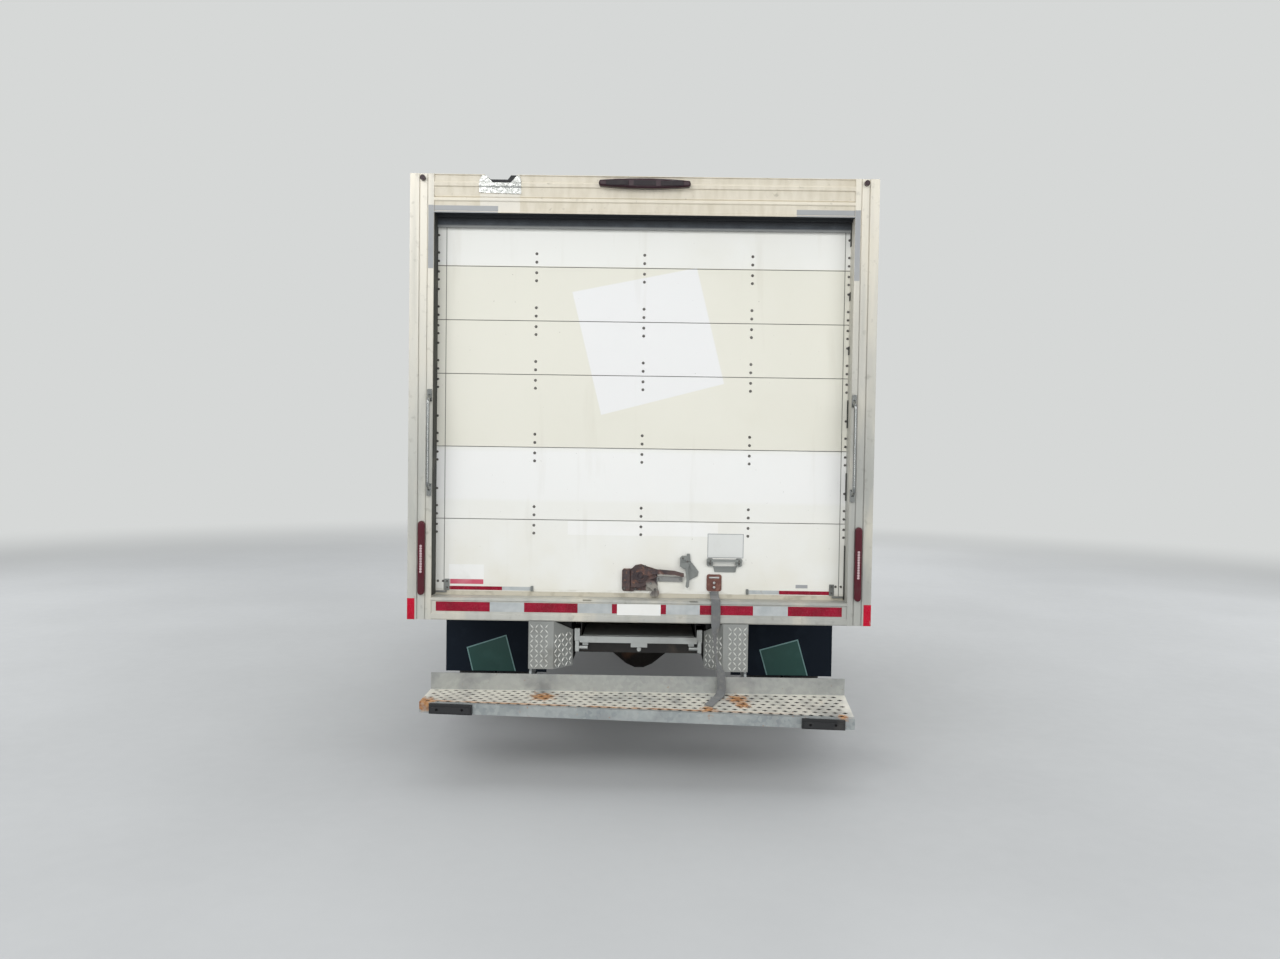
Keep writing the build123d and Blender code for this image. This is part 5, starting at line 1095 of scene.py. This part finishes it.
# %% A turned piece
def turned(name, outlines, centre_y, centre_z, material, body):
    """Closed outlines of (x, radius), each turned about one axle along X, in one mesh."""
    points, faces, steps = [], [], 96
    for outline in outlines:
        first, count = len(points), len(outline)
        for step in range(steps):
            y, z = math.sin(2 * math.pi * step / steps), math.cos(2 * math.pi * step / steps)
            points += [(x, centre_y + r * y, centre_z + r * z) for x, r in outline]
        for step in range(steps):
            here, there = first + step * count, first + (step + 1) % steps * count
            faces += [(here + i, here + (i + 1) % count, there + (i + 1) % count, there + i)
                      for i in range(count)]
    piece = mesh_piece(name, points, faces, material, body)
    made = bmesh.new()
    made.from_mesh(piece.data)
    bmesh.ops.recalc_face_normals(made, faces=made.faces[:])
    made.to_mesh(piece.data)
    made.free()
    smooth(piece)
    return piece

# %% Tyre sections and tread rows
tyre_low, tyre_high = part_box("front_tyre_left")
tyre_radius = (tyre_high.z - tyre_low.z) / 2
groove = 0.0085
# columns: distance from the tyre's middle, stagger as a part of the pitch
block_rows = ((-0.068, 0.5), (-0.034, 0.0), (0.0, 0.5), (0.034, 0.0), (0.068, 0.5))
pitches = 72


def carcass(middle_x):
    """One side of the section from the bead to the crown, mirrored about the tyre's middle."""
    half = [(0.0757, 0.2030), (0.0757, 0.2172), (0.0900, 0.2230), (0.0985, 0.2400), (0.1010, 0.2415),
            (0.1035, 0.2475), (0.1085, 0.2620), (0.1098, 0.2760), (0.1085, 0.2780), (0.1085, 0.2800),
            (0.1098, 0.2820), (0.1099, 0.2920), (0.1085, 0.3080), (0.1055, 0.3260), (0.1005, 0.3440),
            (0.0965, 0.3560), (0.0870, 0.3610), (0.0600, 0.3635)]
    return [(middle_x + x, r) for x, r in half] + [(middle_x - x, r) for x, r in half[::-1]]


def tread_points(middle_x, centre_y):
    """Block places round the crown. Rows are staggered by half a pitch, the outer ones lean outwards."""
    found = []
    for across, stagger in block_rows:
        radius = tyre_radius - groove - abs(across) * 0.012
        for step in range(pitches):
            angle = 2 * math.pi * (step + stagger) / pitches
            y, z = math.sin(angle), math.cos(angle)
            place = Vector((middle_x + across, centre_y + radius * y, tyre_radius + radius * z))
            found.append((place, Vector((across * 1.6, y, z)).normalized(), Vector((0, z, -y))))
    return found

# %% Fit the tyres
for side_name, side in left_right:
    for axle, node, body, middles in (("front", "front_tyre_", "front_wheel_", (0.860,)),
                                      ("rear", "rear_tyres_", "rear_wheels_", (0.835, 1.085))):
        low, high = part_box(node + side_name)
        centre_y = (low.y + high.y) / 2
        sections = [carcass(side * x) for x in middles]
        piece = turned(f"{axle}_carcass_{side_name}", sections, centre_y, tyre_radius, finish["tyre"],
                       body + side_name)
        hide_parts(node + side_name)
        points = [point for x in middles for point in tread_points(side * x, centre_y)]
        heads(f"{axle}_tread_{side_name}", points, finish["tyre"], 0.024, groove, 4, 0.42, 0.025,
              body + side_name, math.pi / 4)

# %% [markdown]
# ## Wheel nuts
# Eight capped hexagon nuts hold each wheel, and eight smaller bolts its hub cover. A ray shot at the
# disc finds where each one seats.

# %% Wheel nuts
def nut_ring(name, node, body, side, radius, width, height):
    """Eight hexagon heads on a circle about an axle, seated where rays from outside meet the wheel."""
    low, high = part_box(node)
    turns = [2 * math.pi * step / 8 for step in range(8)]
    starts = [Vector((side * 1.6, (low.y + high.y) / 2 + radius * math.sin(turn),
                      tyre_radius + radius * math.cos(turn))) for turn in turns]
    points = [(place, facing, Vector((0, 1, 0))) for place, facing in landed(node, starts, (-side, 0, 0))]
    heads(name, points, finish["bolt"], width, height, 6, 0.42, None, body)


for side_name, side in left_right:
    for node, body in (("front_rim_", "front_wheel_"), ("rear_rims_", "rear_wheels_")):
        for kind, radius, width, height in (("nuts_", 0.0825, 0.030, 0.022),
                                            ("hub_bolts_", 0.030, 0.011, 0.006)):
            nut_ring(node + kind + side_name, node + side_name, body + side_name, side, radius, width, height)

# %% [markdown]
# ## Plates that follow a surface
# Lamp lenses, mirror glass, handle covers and the filler's flap lie on pressed panels that are never
# quite flat. Each is a small grid whose points are shot at the panel and lifted off it a little, with the
# outermost ring left on the panel so that the edge is closed.

# %% Plates that follow a surface
def laid(name, node, middle, across, size, material, body="chassis", lift=0.004, rounding=0.4):
    """A plate of size (width, height) on a CAD node, shot from a flat upright grid round middle."""
    across, cells = Vector(across), 10
    aim = upwards.cross(across)
    grid = []
    for j in range(cells + 1):
        for i in range(cells + 1):
            u, v = 2 * i / cells - 1, 2 * j / cells - 1
            wide = u * math.sqrt(1 - rounding * v * v / 2) * size[0] / 2
            tall = v * math.sqrt(1 - rounding * u * u / 2) * size[1] / 2
            rim = i in (0, cells) or j in (0, cells)
            place, _ = touch(node, Vector(middle) + across * wide + upwards * tall, aim)
            grid.append(place - aim * (-0.001 if rim else lift))
    piece = mesh_piece(name, grid, grid_faces(cells, cells), material, body)
    for polygon in piece.data.polygons:
        if polygon.normal.dot(aim) > 0:
            polygon.flip()
    smooth(piece)
    return piece

# %% A round bar along points
def bead(name, places, radius, material, body="chassis", closed=True):
    """A round bar along places, made as a curve with a bevel and turned into a plain mesh."""
    data = bpy.data.curves.new(name, "CURVE")
    data.dimensions = "3D"
    data.bevel_depth, data.bevel_resolution, data.use_fill_caps = radius, 2, True
    line = data.splines.new("POLY")
    line.points.add(len(places) - 1)
    for point, place in zip(line.points, places):
        point.co = (*place, 1)
    line.use_cyclic_u = closed
    source = bpy.data.objects.new(name + "_line", data)
    scene.collection.objects.link(source)
    mesh = evaluated(source)
    bpy.data.objects.remove(source)
    return placed(name, mesh, material, body)

# %% [markdown]
# ## Window rubbers
# A pane is held by a rubber that shows as a black line all round. The line is the pane's own outline,
# rounded at its corners and shot at the glass, so that it bends with the windscreen.

# %% Window rubbers
def rounded_loop(corners, radius):
    """Points round a polygon, with short curves at the corners and even steps between."""
    ring, spacing = [], 0.07
    for before, corner, after in zip(corners[-1:] + corners[:-1], corners, corners[1:] + corners[:1]):
        corner, before, after = Vector(corner), Vector(before), Vector(after)
        start = corner + (before - corner).normalized() * radius
        end = corner + (after - corner).normalized() * radius
        ring += [start * (1 - t) ** 2 + corner * (2 * t * (1 - t)) + end * t ** 2
                 for t in (0, 0.25, 0.5, 0.75, 1)]
    filled = []
    for here, there in zip(ring, ring[1:] + ring[:1]):
        parts = max(1, int((there - here).length / spacing))
        filled += [here.lerp(there, part / parts) for part in range(parts)]
    return filled


def on_screen(places):
    """Where rays from in front of the truck at (x, z) places land on the windscreen."""
    return landed("windscreen", [(x, 4, z) for x, z in places], (0, -1, 0))


screen_corners = [(-0.776, 1.453), (0.776, 1.453), (0.705, 2.003), (-0.705, 2.003)]
screen_line = on_screen(rounded_loop(screen_corners, 0.05))
bead("windscreen_rubber", [place for place, _ in screen_line], 0.011, finish["seal_dark"])
pane_corners = [(1.956, 1.351), (1.956, 1.478), (1.638, 1.899), (1.152, 1.899), (1.152, 1.351)]
for side_name, side in left_right:
    starts = [(side * 2, y, z) for y, z in rounded_loop(pane_corners, 0.03)]
    pane_line = landed("door_glass_" + side_name, starts, (-side, 0, 0))
    bead("door_pane_rubber_" + side_name, [place for place, _ in pane_line], 0.009, finish["seal_dark"],
         "cab_door_" + side_name)
print(f"{len(screen_line)} points round the windscreen")

# %% [markdown]
# ## Wipers
# Two wipers park along the foot of the windscreen. Arm and blade are thin bars that follow the glass.

# %% Wipers
def over_screen(places, lift):
    """Points a little off the windscreen at (x, z) places."""
    return [place + facing * lift for place, facing in on_screen(places)]


pivot_z, blade_z = 1.452, 1.492
for side_name, pivot_x, start_x, end_x in (("left", -0.08, -0.70, -0.14), ("right", 0.60, 0.02, 0.58)):
    blade = [(start_x + (end_x - start_x) * step / 10, blade_z + 0.002 * step) for step in range(11)]
    middle_x, middle_z = blade[5]
    arm = [(pivot_x, pivot_z), (pivot_x + (middle_x - pivot_x) * 0.5, 1.468), (middle_x, middle_z - 0.004)]
    bead("wiper_blade_" + side_name, over_screen(blade, 0.012), 0.0055, finish["rubber"], closed=False)
    bead("wiper_arm_" + side_name, over_screen(arm, 0.020), 0.0065, finish["abs"], closed=False)
    heads("wiper_nut_" + side_name, on_screen([(pivot_x, pivot_z)]), finish["abs"], 0.034, 0.028, 16, 0.4)

# %% [markdown]
# ## Lamps of the cab
# Each front corner holds a sealed headlamp over a parking and turn lens, in a dark surround. The
# lenses follow the nose, so they are laid plates.

# %% Lamps of the cab
for side_name, side in left_right:
    for kind, x, z, size, material, lift in (
            ("surround", 0.731, 0.885, (0.318, 0.330), finish["abs"], 0.003),
            ("headlamp", 0.716, 0.944, (0.262, 0.176), finish["headlamp"], 0.012),
            ("turn", 0.716, 0.789, (0.262, 0.084), finish["amber_lens"], 0.010)):
        laid(f"{kind}_{side_name}", "headlamps", (side * x, 4, z), (-1, 0, 0), size, material, lift=lift)

# %% [markdown]
# ## Mirrors, plate and filler
# The mirrors' glass, the handle covers and the fuel filler's flap are laid plates too. The number plate
# in front is a bare slab on two bolts.

# %% Mirrors, plate and filler
for side_name, side in left_right:
    door, mirror = "cab_door_" + side_name, "door_mirror_" + side_name
    for kind, node, middle, across, size, material, lift in (
            ("mirror_glass_", mirror, (side * 1.180, 1.5, 1.470), (1, 0, 0), (0.150, 0.245),
             "mirror_glass", 0.002),
            ("wide_mirror_", mirror, (side * 1.180, 1.5, 1.290), (1, 0, 0), (0.150, 0.090),
             "mirror_glass", 0.006),
            ("handle_cover_", door, (side * 1.5, 1.197, 1.215), (0, side, 0), (0.160, 0.030), "abs", 0.003)):
        laid(kind + side_name, node, middle, across, size, finish[material], door, lift)
slabs("front_plate", [((-0.1525, 3.3560, 0.528), (0.1525, 3.3575, 0.680))], finish["label"], 0.0006)
plate_bolts = [(Vector((x, 3.3575, 0.620)), Vector((0, 1, 0))) for x in (-0.089, 0.089)]
heads("front_plate_bolts", plate_bolts, finish["rivet"], 0.012, 0.004, 10, 0.3)
filler_middle = (-1.5, 0.890, 1.020)
for name, width, material, lift in (("filler_gap", 0.190, finish["seal_dark"], 0.0015),
                                    ("filler_flap", 0.176, finish["enamel"], 0.004)):
    laid(name, "cab_body", filler_middle, (0, -1, 0), (width, width), material, lift=lift, rounding=0.9)

# %% [markdown]
# ## Rivets and marker lamps of the cargo box
# The box's skins are closed by rails, and a rivet every 100 mm holds each rail. Small amber lamps mark
# the front corners and the sides, and red ones the rear of the sides.

# %% Rivets and marker lamps of the cargo box
rivet_pitch = 0.1
rivets = landed("box_rails", [(-1.0 + rivet_pitch * step, 1.0, 3.070) for step in range(21)], (0, -1, 0))
for side in (-1, 1):
    for z in (0.842, 0.902, 3.070):
        starts = [(side * 1.5, rear_y + 0.16 + rivet_pitch * step, z) for step in range(34)]
        rivets += landed("box_rails", starts, (-side, 0, 0))
heads("rail_rivets", rivets, finish["rivet"], 0.012, 0.003, 8, 0.3)
front_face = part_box("box_front")[1].y
lamps = [((x - 0.055, front_face, 3.084), (x + 0.055, front_face + 0.020, 3.112))
         for x in (-0.98, -0.16, 0, 0.16, 0.98)]
lamps += [beside(side, 1.220, 1.238, (0.300, 0.400), (3.080, 3.108)) for side in (-1, 1)]
slabs("amber_marker_lamps", lamps, finish["amber_lens"], 0.006)
red_lamps = [beside(side, 1.220, 1.236, (rear_y + 0.14, rear_y + 0.24), (0.838, 0.864)) for side in (-1, 1)]
slabs("red_marker_lamps", red_lamps, finish["small_lens"], 0.006)

# %% [markdown]
# ## Seats
# Two high-backed seats stand on painted steel boxes. Each is moulded foam in a sewn cloth cover that is
# cut a little small, which crowns the foam between its seams. So each pad starts as a smaller block,
# Blender's cloth solver blows it up with pressure in place of the foam, and a smooth cap holds it in.
# It stays flat on its box. Seams come last, because the solver's grid would lose them: the stitching
# draws the cover in along its lines. One pair of pads is solved and copied to both places.

# %% Seats
seat_x, seat_half, box_top = 0.470, 0.233, 0.932
grid_size, pressure, solved_frames, swelling = 0.013, 4.0, 20, 0.022
cushion_side = [(1.592, 1.024), (1.602, 0.960), (1.540, 0.946), (1.178, 0.946), (1.178, 1.034),
                (1.192, 1.044)]
backrest_side = [(1.155, 1.085), (1.048, 1.762), (0.987, 1.755), (1.060, 0.958), (1.136, 0.958)]


def padded_block(name, outline):
    """A closed block with rounded edges from a side outline of (y, z) points, about x = 0."""
    made = bmesh.new()
    walls = [[made.verts.new((x, y, z)) for y, z in outline] for x in (-seat_half, seat_half)]
    made.faces.new(walls[0])
    made.faces.new(walls[1][::-1])
    for i, (left, right) in enumerate(zip(*walls)):
        made.faces.new((walls[0][i - 1], walls[1][i - 1], right, left))
    bmesh.ops.bevel(made, geom=made.edges[:], offset=0.016, segments=3, affect="EDGES", profile=0.5)
    bmesh.ops.recalc_face_normals(made, faces=made.faces[:])
    return placed(name, made_mesh(name, made), None, None)


def applied(piece):
    """Bakes a piece's modifiers into its mesh and takes them off."""
    made = evaluated(piece)
    piece.modifiers.clear()
    piece.data = made


def blown_up(piece):
    """Turns a block into a tight pad: a cloth grid under pressure, held within the swelling."""
    grid = piece.modifiers.new("grid", "REMESH")
    grid.mode = "VOXEL"
    grid.voxel_size = grid_size
    applied(piece)
    start = [vertex.co.copy() for vertex in piece.data.vertices]
    cover = piece.modifiers.new("cover", "CLOTH")
    cover.settings.use_pressure = True
    cover.settings.uniform_pressure_force = pressure
    cover.settings.effector_weights.gravity = 0.0
    cover.point_cache.frame_end = solved_frames
    for step in range(1, solved_frames + 1):
        scene.frame_set(step)
    applied(piece)
    scene.frame_set(1)
    for vertex, was in zip(piece.data.vertices, start):
        push = vertex.co - was
        if push.length > 1e-6:
            vertex.co = was + push.normalized() * swelling * (1 - math.exp(-push.length / swelling))
        vertex.co.z = max(vertex.co.z, box_top)
    finer = piece.modifiers.new("finer", "SUBSURF")
    finer.levels = finer.render_levels = 1
    applied(piece)


def sewn(piece, lines):
    """Draws the cover in along seams. lines: (axis, distance), on the sides that look up or forwards."""
    width, depth = 0.010, 0.011
    for vertex, normal in [(vertex, vertex.normal.copy()) for vertex in piece.data.vertices]:
        if max(normal.y, normal.z) > 0.3:
            gap = min(abs(abs(vertex.co[axis]) - place) for axis, place in lines)
            vertex.co -= normal * depth * math.exp(-(gap / width) ** 2)


pads = {"cushion": (cushion_side, [(0, 0.125), (1, 1.300), (1, 1.450)]),
        "backrest": (backrest_side, [(0, 0.125), (2, 1.270), (2, 1.500)])}
for pad_name, (outline, lines) in pads.items():
    pad = padded_block(pad_name, outline)
    blown_up(pad)
    sewn(pad, lines)
    for side_name, side in left_right:
        mesh = pad.data.copy()
        mesh.transform(Matrix.Translation((side * seat_x, 0, 0)))
        piece = placed(f"seat_{pad_name}_{side_name}", mesh, finish["seat_cloth"])
        smooth(piece)
        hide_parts("seats")
    print(f"{pad_name}: {len(pad.data.polygons)} faces")
    bpy.data.objects.remove(pad)

pedestals = []
for side in (-1, 1):
    left, right = side * seat_x - 0.225, side * seat_x + 0.225
    pedestals += [((left, 1.185, 0.690), (right, 1.530, 0.924)),
                  ((left - 0.012, 1.172, 0.680), (right + 0.012, 1.543, 0.694)),
                  ((left - 0.006, 1.178, 0.920), (right + 0.006, 1.537, box_top))]
slabs("seat_pedestals", pedestals, finish["chassis"], 0.004)
